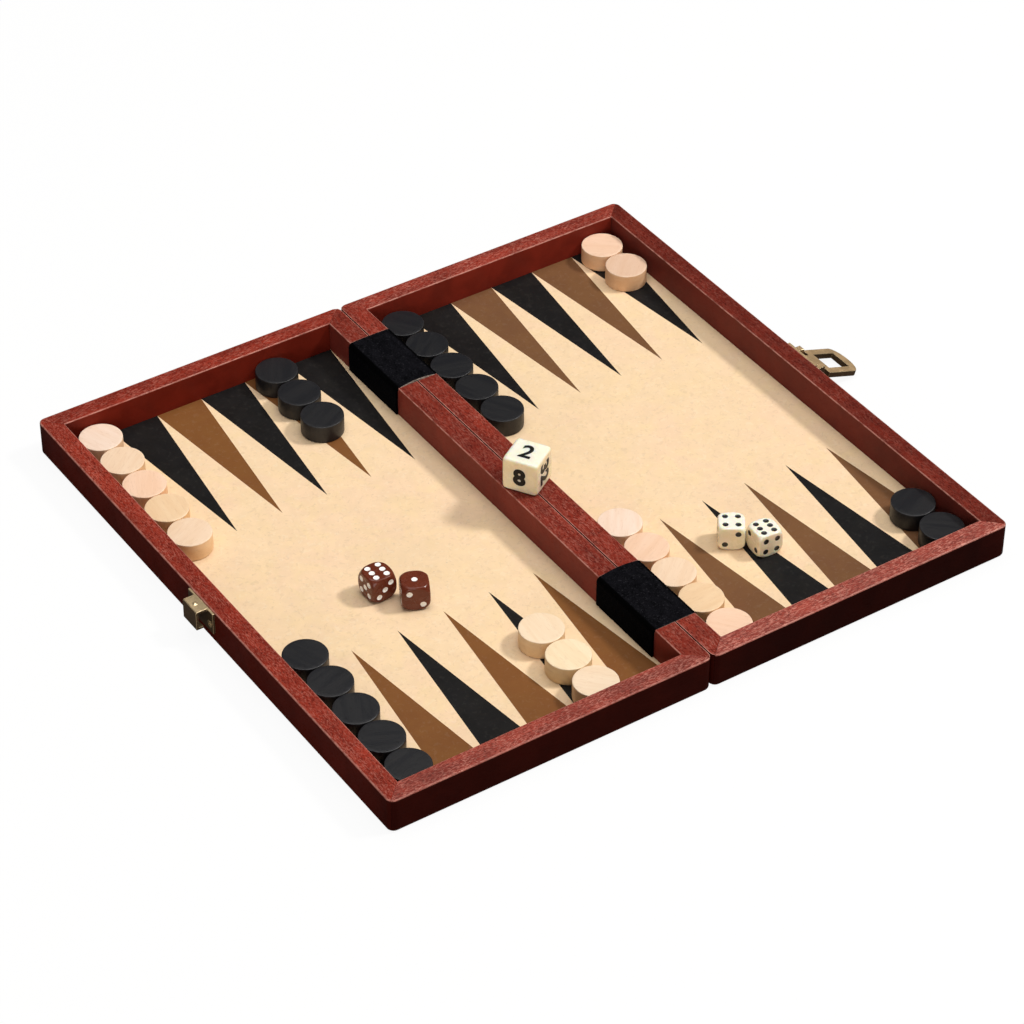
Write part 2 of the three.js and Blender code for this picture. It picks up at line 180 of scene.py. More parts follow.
# Wood figure: long soft streaks along the first axis, and short pores whose share is set by a threshold
def woodFigureGroup():
    streaks = {"Streak Scale": 300.0, "Streak Stretch": 12.0}
    pores = {"Pore Scale": 1500.0, "Pore Stretch": 4.0, "Pore Level": 0.55}
    tree, given, taken = newGroup("woodFigure", {"At": None} | streaks | pores, ("Streak", "Pore", "Height"))
    place = {}
    for kind in ("Streak", "Pore"):
        scale = given[kind + " Scale"]
        along = worked("DIVIDE", scale, given[kind + " Stretch"])
        place[kind] = scaled(given["At"], along, scale, scale)
    streak = between(noiseOf(place["Streak"], 1.0, 4.0, 0.6, 0.4), 0.28, 0.72)
    upper = worked("ADD", given["Pore Level"], 0.09)
    pore = between(noiseOf(place["Pore"], 1.0, 2.0, 0.55, 0.5), given["Pore Level"], upper)
    height = worked("SUBTRACT", times(streak, 0.3), pore)
    fill(taken, {"Streak": streak, "Pore": pore, "Height": height})
    return tree


# Worn film: fine smudges and hairline scratches that lift the roughness of anything handled
def handlingGroup():
    inputs = {"At": None, "Smudge Scale": 60.0, "Scratch Scale": 900.0}
    tree, given, taken = newGroup("handling", inputs, ("Smudge", "Scratch"))
    at, scale = given["At"], given["Scratch Scale"]
    scratchAt = scaled(at, times(scale, 0.06), scale, scale)
    smudge = between(noiseOf(at, given["Smudge Scale"], 4.0, 0.6, 0.3), 0.35, 0.7)
    scratch = between(noiseOf(scratchAt, 1.0, 2.0, 0.5, 1.2), 0.62, 0.72)
    fill(taken, {"Smudge": smudge, "Scratch": scratch})
    return tree


woodFigure = woodFigureGroup()
handling = handlingGroup()


# Material begun with its own tree, and dressed when its links and values are known
def newMaterial(name):
    material = bpy.data.materials.new(name)
    material.use_nodes = True
    begun.append(material.node_tree)
    return material


def dressed(material, values):
    fill(material.node_tree.nodes["Principled BSDF"].inputs, values)
    return material


# Shares of a face: stain of colour with painted shade, speckle of pores, flecks with painted glints, film of
# painted sheen, edge wear of rub with painted highlight
veneerShares = {"stainAndShade": 0.8, "speckle": 0.7, "flecksAndGlints": 0.3, "film": 0.0, "edgeWearAndHighlight": 0.0}


# Red-brown stain under satin lacquer: light flecks and fewer dark pores on tops, a smooth deep stain on sides.
# Stain carries painted shade, film a painted sheen, edge wear a painted highlight. Without given shares they
# are read as attributes
def mahoganyFinish(name, placeOf, deep, body, pale, shares=None):
    material = newMaterial(name)
    place = placeOf()
    share = shares or {label: attributeOf(label) for label in veneerShares}
    dark = useGroup(woodFigure, place, 260.0, 14.0, 2000.0, 2.6, 0.54)
    light = useGroup(woodFigure, place, 260.0, 14.0, 2600.0, 4.0, 0.49)
    colour = mixed(between(share["speckle"], 0.0, 0.4, 0.5, dark["Streak"]), deep, body)
    patch = between(noiseOf(place, 130.0, 3.0, 0.6), 0.3, 0.7, 0.3, 0.75)
    # pale flecks: partly real, partly painted glints
    colour = mixed(times(light["Pore"], patch, share["flecksAndGlints"]), colour, pale)
    colour = mixed(times(dark["Pore"], share["speckle"], 0.75), colour, (0.085, 0.0095, 0.0065))
    uneven = between(noiseOf(place, 75.0, 3.0, 0.6, 0.4), 0.3, 0.7, 0.8, 1.08)
    # stain share darkens or lightens each face: part stain, part painted shade
    colour = shaded(colour, times(share["stainAndShade"], uneven))
    # painted sheen: a pale film laid over tops and inner faces
    colour = mixed(share["film"], colour, (0.5, 0.3, 0.27))
    # pale edge lines: rub and painted highlight
    rubAndHighlight = between(noiseOf(place, 300.0, 3.0, 0.6), 0.32, 0.6, 0.3, 1.0)
    colour = mixed(times(share["edgeWearAndHighlight"], rubAndHighlight, 0.75), colour, (0.62, 0.3, 0.24))
    touch = useGroup(handling, place, 45.0)
    smudged = between(touch["Smudge"], 0, 1, 0.34, 0.46)
    return dressed(material, {
        "Coat Roughness": 0.3, "Specular IOR Level": 0.05,
        "Base Color": colour,
        "Roughness": worked("ADD", smudged, times(dark["Pore"], 0.15)),
        "Coat Weight": times(worked("SUBTRACT", 1.0, dark["Pore"]), share["speckle"], 0.22),
        "Normal": bumped(times(dark["Height"], share["speckle"]), 0.3, 0.00006),
    })


# Stained veneer of the underside: the same figure along y, read in place
def veneerPlace():
    turn = {"Vector": objectPlace(), "Rotation": (0, 0, math.pi / 2)}
    return addNode("ShaderNodeMapping", turn).outputs["Vector"]


lacquerTones = (0.15, 0.0125, 0.0062), (0.24, 0.025, 0.0125), (0.64, 0.28, 0.215)
veneerTones = (0.10, 0.012, 0.007), (0.17, 0.023, 0.012), (0.28, 0.06, 0.04)
mahogany = mahoganyFinish("mahogany_lacquer", grainPlace, *lacquerTones)
veneer = mahoganyFinish("stained_veneer", veneerPlace, *veneerTones, veneerShares)


# Printed paper: a tint with faint pink and yellow clouds, neutral mottling, curly fibres and dark specks
def printFinish(name, tint, pink, yellow, fibre, mottle):
    material = newMaterial(name)
    at = objectPlace()
    move = {"Vector": at, "Rotation": (0, 0, 0.6), "Location": (0.4, 0.1, 0)}
    moved = addNode("ShaderNodeMapping", move).outputs["Vector"]
    pinkish = between(noiseOf(at, 26.0, 4.0, 0.62, 0.6), 0.36, 0.7)
    yellowish = between(noiseOf(moved, 75.0, 5.0, 0.66, 0.8), 0.4, 0.72)
    colour = mixed(yellowish, mixed(pinkish, tint, pink), yellow)
    cloud = noiseOf(at, 150.0, 5.0, 0.64, 0.7)
    colour = shaded(colour, between(cloud, 0.3, 0.7, 1 - mottle, 1 + mottle))
    for place, ink in ((moved, (1.0, 0.93, 0.8)), (at, (0.35, 0.22, 0.12))):
        offMiddle = worked("SUBTRACT", noiseOf(place, 260.0, 2.0, 0.5, 0.8), 0.5)
        thread = between(worked("ABSOLUTE", offMiddle), 0.02, 0.05, 1.0, 0.0)
        broken = between(noiseOf(place, 480.0, 1.0, 0.5), 0.5, 0.6)
        colour = mixed(times(thread, broken, fibre), colour, ink)
    speck = between(noiseOf(moved, 820.0, 1.0, 0.5), 0.72, 0.78)
    colour = mixed(times(speck, fibre * 1.6), colour, (0.3, 0.2, 0.13))
    touch = useGroup(handling, at, 30.0)
    return dressed(material, {
        "Specular IOR Level": 0.15,
        "Base Color": colour,
        "Roughness": between(touch["Smudge"], 0, 1, 0.5, 0.62),
        "Normal": bumped(cloud, 0.08, 0.00002),
    })


# Tint, pink, yellow, share of fibres, mottle
printTones = {
    "beige_print": ((0.868, 0.65, 0.418), (0.874, 0.633, 0.422), (0.87, 0.65, 0.392), 0.11, 0.03),
    "brown_print": ((0.203, 0.079, 0.022), (0.19, 0.072, 0.021), (0.205, 0.083, 0.023), 0.015, 0.03),
    "faded_brown_print": ((0.174, 0.08, 0.033), (0.164, 0.073, 0.033), (0.182, 0.084, 0.034), 0.015, 0.03),
    "black_print": ((0.0085, 0.0075, 0.0075), (0.0075, 0.0072, 0.0078), (0.0095, 0.0085, 0.0078), 0.006, 0.22),
}
prints = {name: printFinish(name, *tones) for name, tones in printTones.items()}


# Short black pile: uneven brushed nap, lint on the tips and pale cut edges. The colour is darkened where the
# strap
# hangs: painted shade
def velvetFinish():
    material = newMaterial("black_velvet")
    at = objectPlace()
    brushed = noiseOf(scaled(at, 420.0, 190.0, 420.0), 1.0, 5.0, 0.7, 0.6)
    nap = between(brushed, 0.32, 0.68)
    tips = between(noiseOf(at, 2400.0, 2.0, 0.6), 0.4, 0.72)
    colour = mixed(nap, (0.0006, 0.0006, 0.001), (0.0056, 0.0054, 0.0072))
    colour = mixed(times(tips, 0.4), colour, (0.013, 0.013, 0.016))
    lint = between(noiseOf(at, 1300.0, 1.0, 0.5), 0.6, 0.75)
    colour = mixed(times(lint, 0.4), colour, (0.04, 0.039, 0.045))
    # painted shade: hanging parts darkened
    colour = shaded(colour, attributeOf("paintedLitShare"))
    frayed = times(attributeOf("fray"), between(tips, 0, 1, 0.35, 1.0))
    return dressed(material, {
        "Sheen Weight": 0.02, "Sheen Roughness": 0.4, "Sheen Tint": (0.5, 0.55, 0.75),
        "Specular IOR Level": 0.02,
        "Base Color": mixed(frayed, colour, (0.55, 0.47, 0.4)),
        "Roughness": between(nap, 0, 1, 0.85, 0.97),
        "Normal": bumped(tips, 0.6, 0.00012),
    })


velvet = velvetFinish()


# Aged brass: a darker film with rubbed patches, upright faces darker by tarnish and painted shade, fine
# scratches, satin roughness
def brassFinish(name, bright, dull, tarnishAndShade, polish, metal):
    material = newMaterial(name)
    at = objectPlace()
    touch = useGroup(handling, at, 220.0, 2600.0)
    film = noiseOf(at, 420.0, 4.0, 0.65, 0.4)
    filmed = between(film, 0.36, 0.66)
    colour = mixed(filmed, bright, dull)
    # upright faces darker: part tarnish, part painted shade
    colour = mixed(levelShare(0.35, 0.8), tinted(colour, tarnishAndShade), colour)
    colour = mixed(times(touch["Scratch"], 0.35), colour, (0.72, 0.56, 0.33))
    smudged = between(touch["Smudge"], 0, 1, *polish)
    grain = worked("ADD", film, times(touch["Scratch"], -0.4))
    return dressed(material, {
        "Base Color": colour,
        "Metallic": between(filmed, 0, 1, *metal),
        "Roughness": worked("ADD", smudged, times(touch["Scratch"], 0.08)),
        "Normal": bumped(grain, 0.18, 0.00006),
    })


# Bright, dull and tarnish-with-painted-shade colours, then roughness and metal share from clean to filmed
brassTones = {
    "aged_brass": ((0.72, 0.505, 0.285), (0.54, 0.365, 0.195), (0.25, 0.22, 0.22), (0.44, 0.58), (0.74, 0.54)),
    "dark_brass": ((0.66, 0.5, 0.3), (0.5, 0.38, 0.22), (0.3, 0.26, 0.25), (0.44, 0.58), (0.9, 0.72)),
    "rubbed_brass": ((0.92, 0.74, 0.46), (0.74, 0.57, 0.34), (0.8, 0.76, 0.7), (0.24, 0.34), (0.82, 0.66)),
}
brass, catchBrass, rubbedBrass = (brassFinish(name, *tones) for name, tones in brassTones.items())


# Plain steel sheet: rolled streaks along y
def steelFinish():
    material = newMaterial("sheet_steel")
    streak = noiseOf(scaled(objectPlace(), 2200.0, 40.0, 2200.0), 1.0, 3.0, 0.6)
    return dressed(material, {
        "Metallic": 1.0,
        "Base Color": mixed(streak, (0.34, 0.35, 0.36), (0.5, 0.51, 0.52)),
        "Roughness": between(streak, 0.2, 0.8, 0.3, 0.5),
        "Normal": bumped(streak, 0.1, 0.00003),
    })


steel = steelFinish()


# Turned checkers: figure along each piece's own grain, tone from cool to warm with straw and peach casts,
# painted shade on the sides, rims lightened by rub and painted highlight
def checkerFinish(name, tones):
    material = newMaterial(name)
    at = grainPlace()
    wood = useGroup(woodFigure, at, 330.0, 9.0, 1500.0, 5.0, 0.57)
    colour = mixed(attributeOf("tone"), tones["cool"], tones["warm"])
    for cast in ("straw", "peach"):
        colour = mixed(attributeOf(cast), colour, tones.get(cast, tones["warm"]))
    colour = shaded(colour, attributeOf("shade"))
    # painted shade: the sides tinted darker
    colour = mixed(attributeOf("side"), colour, tinted(colour, tones["side"]))
    veil = tinted(colour, (0.93, 0.87, 0.8))
    colour = mixed(times(wood["Streak"], 0.85), colour, veil)
    colour = mixed(times(wood["Pore"], tones["poreShare"]), colour, tones["pore"])
    # rims lightened: rub and painted highlight
    rubAndHighlight = between(noiseOf(at, 420.0, 3.0, 0.6), 0.35, 0.65)
    colour = mixed(times(attributeOf("edgeWearAndHighlight"), rubAndHighlight, 0.45), colour, tones["rimWearAndHighlight"])
    smooth = between(wood["Streak"], 0, 1, *tones["rough"])
    return dressed(material, {
        "Specular IOR Level": 0.4,
        "Base Color": colour,
        "Roughness": worked("ADD", smooth, times(wood["Pore"], 0.1)),
        "Normal": bumped(wood["Height"], 0.22, 0.00005),
    })


lightWood = checkerFinish("natural_wood", {
    "cool": (0.914, 0.721, 0.592),
    "warm": (0.899, 0.654, 0.414),
    "straw": (0.919, 0.757, 0.513),
    "peach": (0.95, 0.649, 0.471),
    # painted shade of the sides
    "side": (1.03, 0.92, 0.72),
    "pore": (0.6, 0.37, 0.22),
    "poreShare": 0.16,
    "rimWearAndHighlight": (0.95, 0.8, 0.62),
    "rough": (0.42, 0.52),
})
blackWood = checkerFinish("black_stained_wood", {
    "cool": (0.0086, 0.0092, 0.0121),
    "warm": (0.0115, 0.0118, 0.0144),
    # painted shade of the sides
    "side": (0.75, 0.7, 0.7),
    "pore": (0.003, 0.003, 0.0035),
    "poreShare": 0.6,
    "rimWearAndHighlight": (0.04, 0.04, 0.045),
    "rough": (0.36, 0.48),
})


# Moulded plastic with sunk marks: marks are where the signed distance attribute is below zero
def plasticFinish(name, body, swirl, paintedSideShade, mark, depth, gloss):
    material = newMaterial(name)
    at = objectPlace()
    cloud = between(noiseOf(at, 260.0, 3.0, 0.55, 0.8), 0.3, 0.7)
    colour = mixed(cloud, body, swirl)
    # painted shade: upright faces tinted darker and warmer
    colour = mixed(levelShare(0.3, 0.8), tinted(colour, paintedSideShade), colour)
    inside = between(attributeOf("markEdge"), -0.00004, 0.00004, 1.0, 0.0)
    touch = useGroup(handling, at, 320.0, 3000.0)
    smudged = between(touch["Smudge"], 0, 1, 0.2, 0.32)
    return dressed(material, {
        "Subsurface Weight": depth, "Subsurface Scale": 0.003, "Subsurface Radius": (1.0, 0.7, 0.35),
        "Specular IOR Level": gloss, "Coat Roughness": 0.08,
        "Base Color": mixed(inside, colour, mark),
        "Roughness": worked("ADD", smudged, times(inside, 0.15)),
        "Coat Weight": times(touch["Smudge"], 0.25),
        "Normal": bumped(times(touch["Scratch"], -1.0), 0.05, 0.00002),
    })


# Body, swirl, painted shade of the sides, mark, depth that light sinks in, gloss
darkMark, paleMark, noTint = (0.01, 0.009, 0.009), (0.97, 0.96, 0.93), (1.0, 1.0, 1.0)
plasticTones = {
    "ivory_plastic": ((0.95, 0.91, 0.8), (0.94, 0.885, 0.74), (1.0, 0.91, 0.78), darkMark, 0.6, 0.5),
    "cream_plastic": ((0.965, 0.925, 0.785), (0.96, 0.9, 0.72), (1.03, 0.89, 0.74), darkMark, 0.6, 0.5),
    "red_brown_plastic": ((0.148, 0.032, 0.0155), (0.122, 0.025, 0.012), noTint, paleMark, 0.0, 0.3),
}
ivory, cream, brownPlastic = (plasticFinish(name, *tones) for name, tones in plasticTones.items())


# Ink of the cube's numbers: near black, slightly uneven
def inkFinish():
    material = newMaterial("number_ink")
    uneven = noiseOf(objectPlace(), 900.0, 3.0, 0.6)
    return dressed(material, {
        "Specular IOR Level": 0.2,
        "Base Color": mixed(uneven, (0.005, 0.0045, 0.004), (0.012, 0.011, 0.01)),
        "Roughness": between(uneven, 0.2, 0.8, 0.35, 0.55),
    })


ink = inkFinish()
print("finishes made:", len(bpy.data.materials))


# Four-cornered faces of a grid of rows and columns; in a ring the last column joins the first
def gridFaces(rows, columns, ring=False, start=0):
    r = np.arange(rows - 1)[:, None] * columns
    c = np.arange(columns if ring else columns - 1)[None, :]
    nextRow, nextColumn = r + columns, (c + 1) % columns
    corners = [r + c, r + nextColumn, nextRow + nextColumn, nextRow + c]
    return (np.stack(np.broadcast_arrays(*corners), -1).reshape(-1, 4) + start).tolist()


# Rows of points as rings of a tube with both ends closed, all faces wound the same way; the two ends come last
def tubeFaces(rows, columns):
    firstRow, lastRow = list(range(columns)), list(range((rows - 1) * columns, rows * columns))
    return gridFaces(rows, columns, ring=True) + [firstRow[::-1], lastRow]


# Object in the scene; a piece also rides on a body in place of CAD nodes
def addObject(name, data, body=None, replaced=(), slot=None):
    piece = bpy.data.objects.new(name, data)
    bpy.context.scene.collection.objects.link(piece)
    if body:
        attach(piece, body)
    if replaced:
        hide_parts(*replaced)
    return piece


# Piece from arrays, turned outwards by the sign of its volume; ride is its body, replaced nodes and slot, which
# is not used
def makePiece(name, places, faces, materials, ride=(), attributes=None, faceSlots=None, sharp=40):
    places = np.asarray(places, float).reshape(-1, 3)
    mesh = bpy.data.meshes.new(name)
    mesh.from_pydata(places.tolist(), [], faces)
    for label, values in (attributes or {}).items():
        values = np.asarray(values, np.float32)
        kind, field = ("FLOAT_VECTOR", "vector") if values.ndim == 2 else ("FLOAT", "value")
        mesh.attributes.new(label, kind, "POINT").data.foreach_set(field, values.ravel())
    if faceSlots is not None:
        mesh.polygons.foreach_set("material_index", np.asarray(faceSlots, np.int32))
    for material in materials:
        mesh.materials.append(material)
    mesh.calc_loop_triangles()
    corners = np.zeros(len(mesh.loop_triangles) * 3, np.int32)
    mesh.loop_triangles.foreach_get("vertices", corners)
    a, b, c = places[corners.reshape(-1, 3)].transpose(1, 0, 2)
    if np.einsum("ij,ij->", a - a[0], np.cross(b - a[0], c - a[0])) < 0:
        mesh.flip_normals()
    mesh.shade_smooth()
    mesh.set_sharp_from_angle(angle=math.radians(sharp))
    mesh.update()
    return addObject(name, mesh, *ride)


# Arc in a plane, without its two end points
def arcInside(middle, radius, fromAngle, toAngle, steps):
    angle = np.radians(np.linspace(fromAngle, toAngle, steps + 2))[1:-1]
    return np.stack([middle[0] + radius * np.cos(angle), middle[1] + radius * np.sin(angle)], 1)


# Angles of a full turn, without the last that meets the first
def fullTurn(steps):
    return np.linspace(0, 2 * math.pi, steps, endpoint=False)


railSpec = {
    "cornerRadius": 3.0 * mm,  # upright outer corners
    "topEdge": 0.6 * mm,
    "seamEdge": 0.28 * mm,
    "innerEdge": 0.45 * mm,
    "bottomEdge": 1.4 * mm,
    "rabbetWidth": 3.0 * mm,
    "layerGap": 0.05 * mm,
    "mitreTrim": 0.07 * mm,
    "mitreRoom": 2.0 * mm,  # straight run kept before the mitre's slant begins
    "recessDepth": 1.0 * mm,
    "recessFrom": 5.0 * mm,  # the section is squeezed down from this height up
    "recessHalf": 18.1 * mm,
    "recessCentre": (boxOf("far_strap_left_leaf")[0][1] + boxOf("far_strap_left_leaf")[1][1]) / 2,
    "recessWall": 0.02 * mm,  # half the slant of the recess's end walls
    "recessRubAndHighlight": 0.05 * mm,  # width of the rubbed lip round it, which also carries a painted highlight
    "arcSteps": 4,
    "endSteps": 30,
    "middleSteps": 40,
    "wearLine": 0.15 * mm,  # how far the rub and painted highlight of an edge run onto the flats beside it
    "besideRubAndHighlight": 0.1,  # rub and painted highlight of the first flat line beside an edge
    "bottomRub": 0.15,
    "seamHighlightAndShade": (1.0, -0.6),  # a thin pale line of painted highlight on top, then the painted shade of the seam
    "rabbetStain": 0.3,
    "topBand": 0.4 * mm,  # points this near the top count as the top
    "sideSpeckle": 0.06,
    "cornerPaintedShade": 0.22,  # outer faces come to this painted shade where two rails meet
    "cornerRun": 16 * mm,
}
# Shares of each rail: stain with painted shade on its top, inner and outer face, film of painted sheen on its
# top and inner face, flecks with painted glints on its top, and rub with painted highlight of its edges where
# that is under the full share
railTones = {
    "left_near": {"stainAndShade": (1.21, 0.75, 0.2), "film": (0.065, 0.0), "flecksAndGlints": 0.65, "rubAndHighlight": 0.55},
    "right_near": {"stainAndShade": (1.38, 0.75, 0.13), "film": (0.1, 0.0), "flecksAndGlints": 0.7, "rubAndHighlight": 0.75},
    "left_far": {"stainAndShade": (1.26, 0.86, 0.4), "film": (0.0, 0.0), "flecksAndGlints": 0.36},
    "right_far": {"stainAndShade": (1.26, 1.03, 0.4), "film": (0.02, 0.01), "flecksAndGlints": 0.48},
    "left_outer": {"stainAndShade": (1.24, 0.75, 0.66), "film": (0.0, 0.0), "flecksAndGlints": 0.34},
    "right_outer": {"stainAndShade": (0.71, 0.7, 0.4), "film": (0.01, 0.045), "flecksAndGlints": 0.25},
    "left_hinge": {"stainAndShade": (0.94, 1.04, 0.07), "film": (0.01, 0.06), "flecksAndGlints": 0.35},
    "right_hinge": {"stainAndShade": (1.04, 0.75, 0.07), "film": (0.01, 0.0), "flecksAndGlints": 0.35},
}


# Rail section: inset from the outer face against height, closed, with the shares of stain with painted shade,
# edge wear with painted highlight and film of painted sheen
def railProfile(width, height, rabbetTop, tones, hinge):
    s = railSpec
    # each face's stain carries painted shade; the film is a painted sheen on the top and inner faces
    (top, inner, outer), (topSheen, innerSheen) = tones["stainAndShade"], tones["film"]
    t = s["seamEdge"] if hinge else s["topEdge"]
    i, b, line, step = s["innerEdge"], s["bottomEdge"], s["wearLine"], width - s["rabbetWidth"]
    beside = s["besideRubAndHighlight"]
    rows = [(b, 0, outer, 0, 0), (step, 0, outer, 0, 0)]
    rows += [(step, rabbetTop, s["rabbetStain"], 0, 0), (width, rabbetTop, inner, 0, innerSheen)]
    rows += [(width, height - i - line, inner, 0, innerSheen), (width, height - i, inner, beside, innerSheen)]
    # edge lines of rub and painted highlight, strongest mid-arc
    rubAndHighlight = tones.get("rubAndHighlight", 1.0) * np.sin(np.linspace(0, math.pi, s["arcSteps"] + 2))[1:-1]
    inward = arcInside((width - i, height - i), i, 0, 90, s["arcSteps"])
    rows += [(x, z, top, r, topSheen) for (x, z), r in zip(inward, rubAndHighlight)]
    rows += [(width - i, height, top, beside, topSheen), (width - i - line, height, top, 0, topSheen)]
    outward = arcInside((t, height - t), t, 90, 180, s["arcSteps"])
    # at the seam a painted highlight on top, then the outer face's painted shade
    if hinge:
        rubAndHighlight = np.linspace(*s["seamHighlightAndShade"], s["arcSteps"]).clip(0)
    rows += [(t + line, height, top, 0, topSheen), (t, height, top, 1.0 if hinge else beside, topSheen)]
    rows += [(x, z, top if r > 0 else outer, r, topSheen if r > 0 else 0) for (x, z), r in zip(outward, rubAndHighlight)]
    rows += [(0, height - t, outer, 0 if hinge else beside, 0)]
    rows += [(0, height - t - line, outer, 0, 0), (0, b, outer, 0, 0)]
    rows += [(x, z, outer, s["bottomRub"], 0) for x, z in arcInside((b, b), b, 180, 270, s["arcSteps"])]
    return np.array(rows)


# Each section line runs straight from start, then round a corner arc of radius (corner less inset), to the
# mitre. The mitre line is along = half length less slope times inset less the trim
def runToMitre(inset, halfLength, slope, start):
    radius, trim = railSpec["cornerRadius"], railSpec["mitreTrim"]
    bend = np.maximum(radius - inset, 0)
    reach = (radius * (1 - slope) - trim) / (np.maximum(bend, hair) * math.hypot(1, slope))
    turn = np.where(bend > hair, math.atan(slope) + np.arcsin(np.clip(reach, -1, 1)), 0)
    turned = turn > 0
    straight = np.where(turned, halfLength - radius, halfLength - slope * inset - trim) - start
    run = np.linspace(0, 1, railSpec["endSteps"])[:, None] * (straight + bend * np.maximum(turn, 0))
    angle = np.where(turned, np.maximum(run - straight, 0) / np.maximum(bend, hair), 0)
    along = start + np.minimum(run, straight) + bend * np.sin(angle)
    return along, inset + bend * (1 - np.cos(angle))


# One mitred rail: the section carried from mitre to mitre, and sunk under the straps where it is a hinge rail
def makeRail(half, part, origin, alongAxis, inAxis, halfLength, width, slopes):
    s = railSpec
    node, hinge, height = f"{half}_{part}_rail", part == "hinge", railTop
    rabbetTop = boxOf(f"{half}_bottom_panel")[1][2] + s["layerGap"]
    tones = railTones[f"{half}_{part}"]
    profile = railProfile(width, height, rabbetTop, tones, hinge)
    inset = profile[:, 0]
    start = halfLength - max(width * slopes[0], width * slopes[1]) - s["mitreRoom"]
    (lowAlong, lowInset), (highAlong, highInset) = (runToMitre(inset, halfLength, k, start) for k in slopes)
    middle = np.linspace(-start, start, s["middleSteps"])[1:-1]
    if hinge:
        ways = np.array([-1, 1])
        sides = ways[:, None] * s["recessCentre"] + ways * s["recessHalf"]
        lips = [(sides + ways * away).ravel() for away in (-s["recessWall"], s["recessWall"], s["wearLine"])]
        middle = np.sort(np.concatenate([middle, *lips]))
    flat = np.broadcast_to(middle[:, None], (len(middle), len(inset)))
    along = np.concatenate([-lowAlong[::-1], flat, highAlong])
    across = np.concatenate([lowInset[::-1], np.broadcast_to(inset, flat.shape), highInset])
    up = np.broadcast_to(profile[:, 1], along.shape).copy()
    wearAndHighlight = np.broadcast_to(profile[:, 3], along.shape).copy()
    if hinge:
        offCentre = np.abs(np.abs(along) - s["recessCentre"]) - s["recessHalf"]
        share = np.clip(up - s["recessFrom"], 0, None) / (height - s["recessFrom"])
        up -= np.where(offCentre < 0, share * s["recessDepth"], 0)
        # the recess lip gets rub and a painted highlight
        wearAndHighlight[(offCentre > 0) & (offCentre < s["recessRubAndHighlight"]) & (up > height - s["recessDepth"])] = 1.0
    places = origin + along[..., None] * alongAxis + across[..., None] * inAxis + up[..., None] * [0, 0, 1]
    shift = draw.uniform(-2, 2, 3)
    onTop = (profile[:, 1] > height - s["topBand"]) & (profile[:, 2] == tones["stainAndShade"][0])
    outerRow = (inset < hair) | (profile[:, 1] < s["bottomEdge"] - hair)
    # outer faces fade to one painted shade near each corner
    nearEnd = np.clip((np.abs(along) - halfLength) / s["cornerRun"] + 1, 0, 1) * outerRow
    stainAndShade = profile[:, 2] * (1 - nearEnd) + s["cornerPaintedShade"] * nearEnd
    attributes = {
        "grainAt": np.stack([along, across, up], -1).reshape(-1, 3) + shift,
        "stainAndShade": stainAndShade.ravel(),
        "speckle": np.tile(np.where(onTop, 1.0, s["sideSpeckle"]), len(along)),
        "flecksAndGlints": np.tile(np.where(onTop, tones["flecksAndGlints"], 0.0), len(along)),
        "film": np.tile(profile[:, 4], len(along)),
        "edgeWearAndHighlight": wearAndHighlight.ravel(),
    }
    ride = (f"{half}_tray", [node], "mahogany")
    makePiece(node + "_timber", places, tubeFaces(*along.shape), [mahogany], ride, attributes)


# Four rails of a tray from the outline that the CAD rails fill
def makeTrayRails(half):
    box = {part: boxOf(f"{half}_{part}_rail") for part in ("hinge", "outer", "near", "far")}
    acrossOf = {"hinge": 0, "outer": 0, "near": 1, "far": 1}  # axis that crosses the rail
    width = {part: box[part][1][axis] - box[part][0][axis] for part, axis in acrossOf.items()}
    x0, x1 = min(box["hinge"][0][0], box["outer"][0][0]), max(box["hinge"][1][0], box["outer"][1][0])
    y0, y1 = box["near"][0][1], box["far"][1][1]
    middle = np.array([(x0 + x1) / 2, (y0 + y1) / 2, 0])
    acrossHalf, lengthHalf = np.array([(x1 - x0) / 2, 0, 0]), np.array([0, (y1 - y0) / 2, 0])
    xAxis, yAxis = np.array([1.0, 0, 0]), np.array([0, 1.0, 0])
    lowX, highX = ("outer", "hinge") if half == "left" else ("hinge", "outer")
    runs = {
        "near": (middle - lengthHalf, xAxis, yAxis, acrossHalf[0], lowX, highX),
        "far": (middle + lengthHalf, xAxis, -yAxis, acrossHalf[0], lowX, highX),
        lowX: (middle - acrossHalf, yAxis, xAxis, lengthHalf[1], "near", "far"),
        highX: (middle + acrossHalf, yAxis, -xAxis, lengthHalf[1], "near", "far"),
    }
    for part, (origin, alongAxis, inAxis, halfLength, before, after) in runs.items():
        slopes = (width[before] / width[part], width[after] / width[part])
        makeRail(half, part, origin, alongAxis, inAxis, halfLength, width[part], slopes)


for half in ("left", "right"):
    makeTrayRails(half)
print("rails made: 8")

fieldSpec = {
    "points": 6,
    "pointLength": 79.7 * mm,
    "startsBlack": {"far": False, "near": True},
    "brown": {"left": "brown_print", "right": "faded_brown_print"},
}


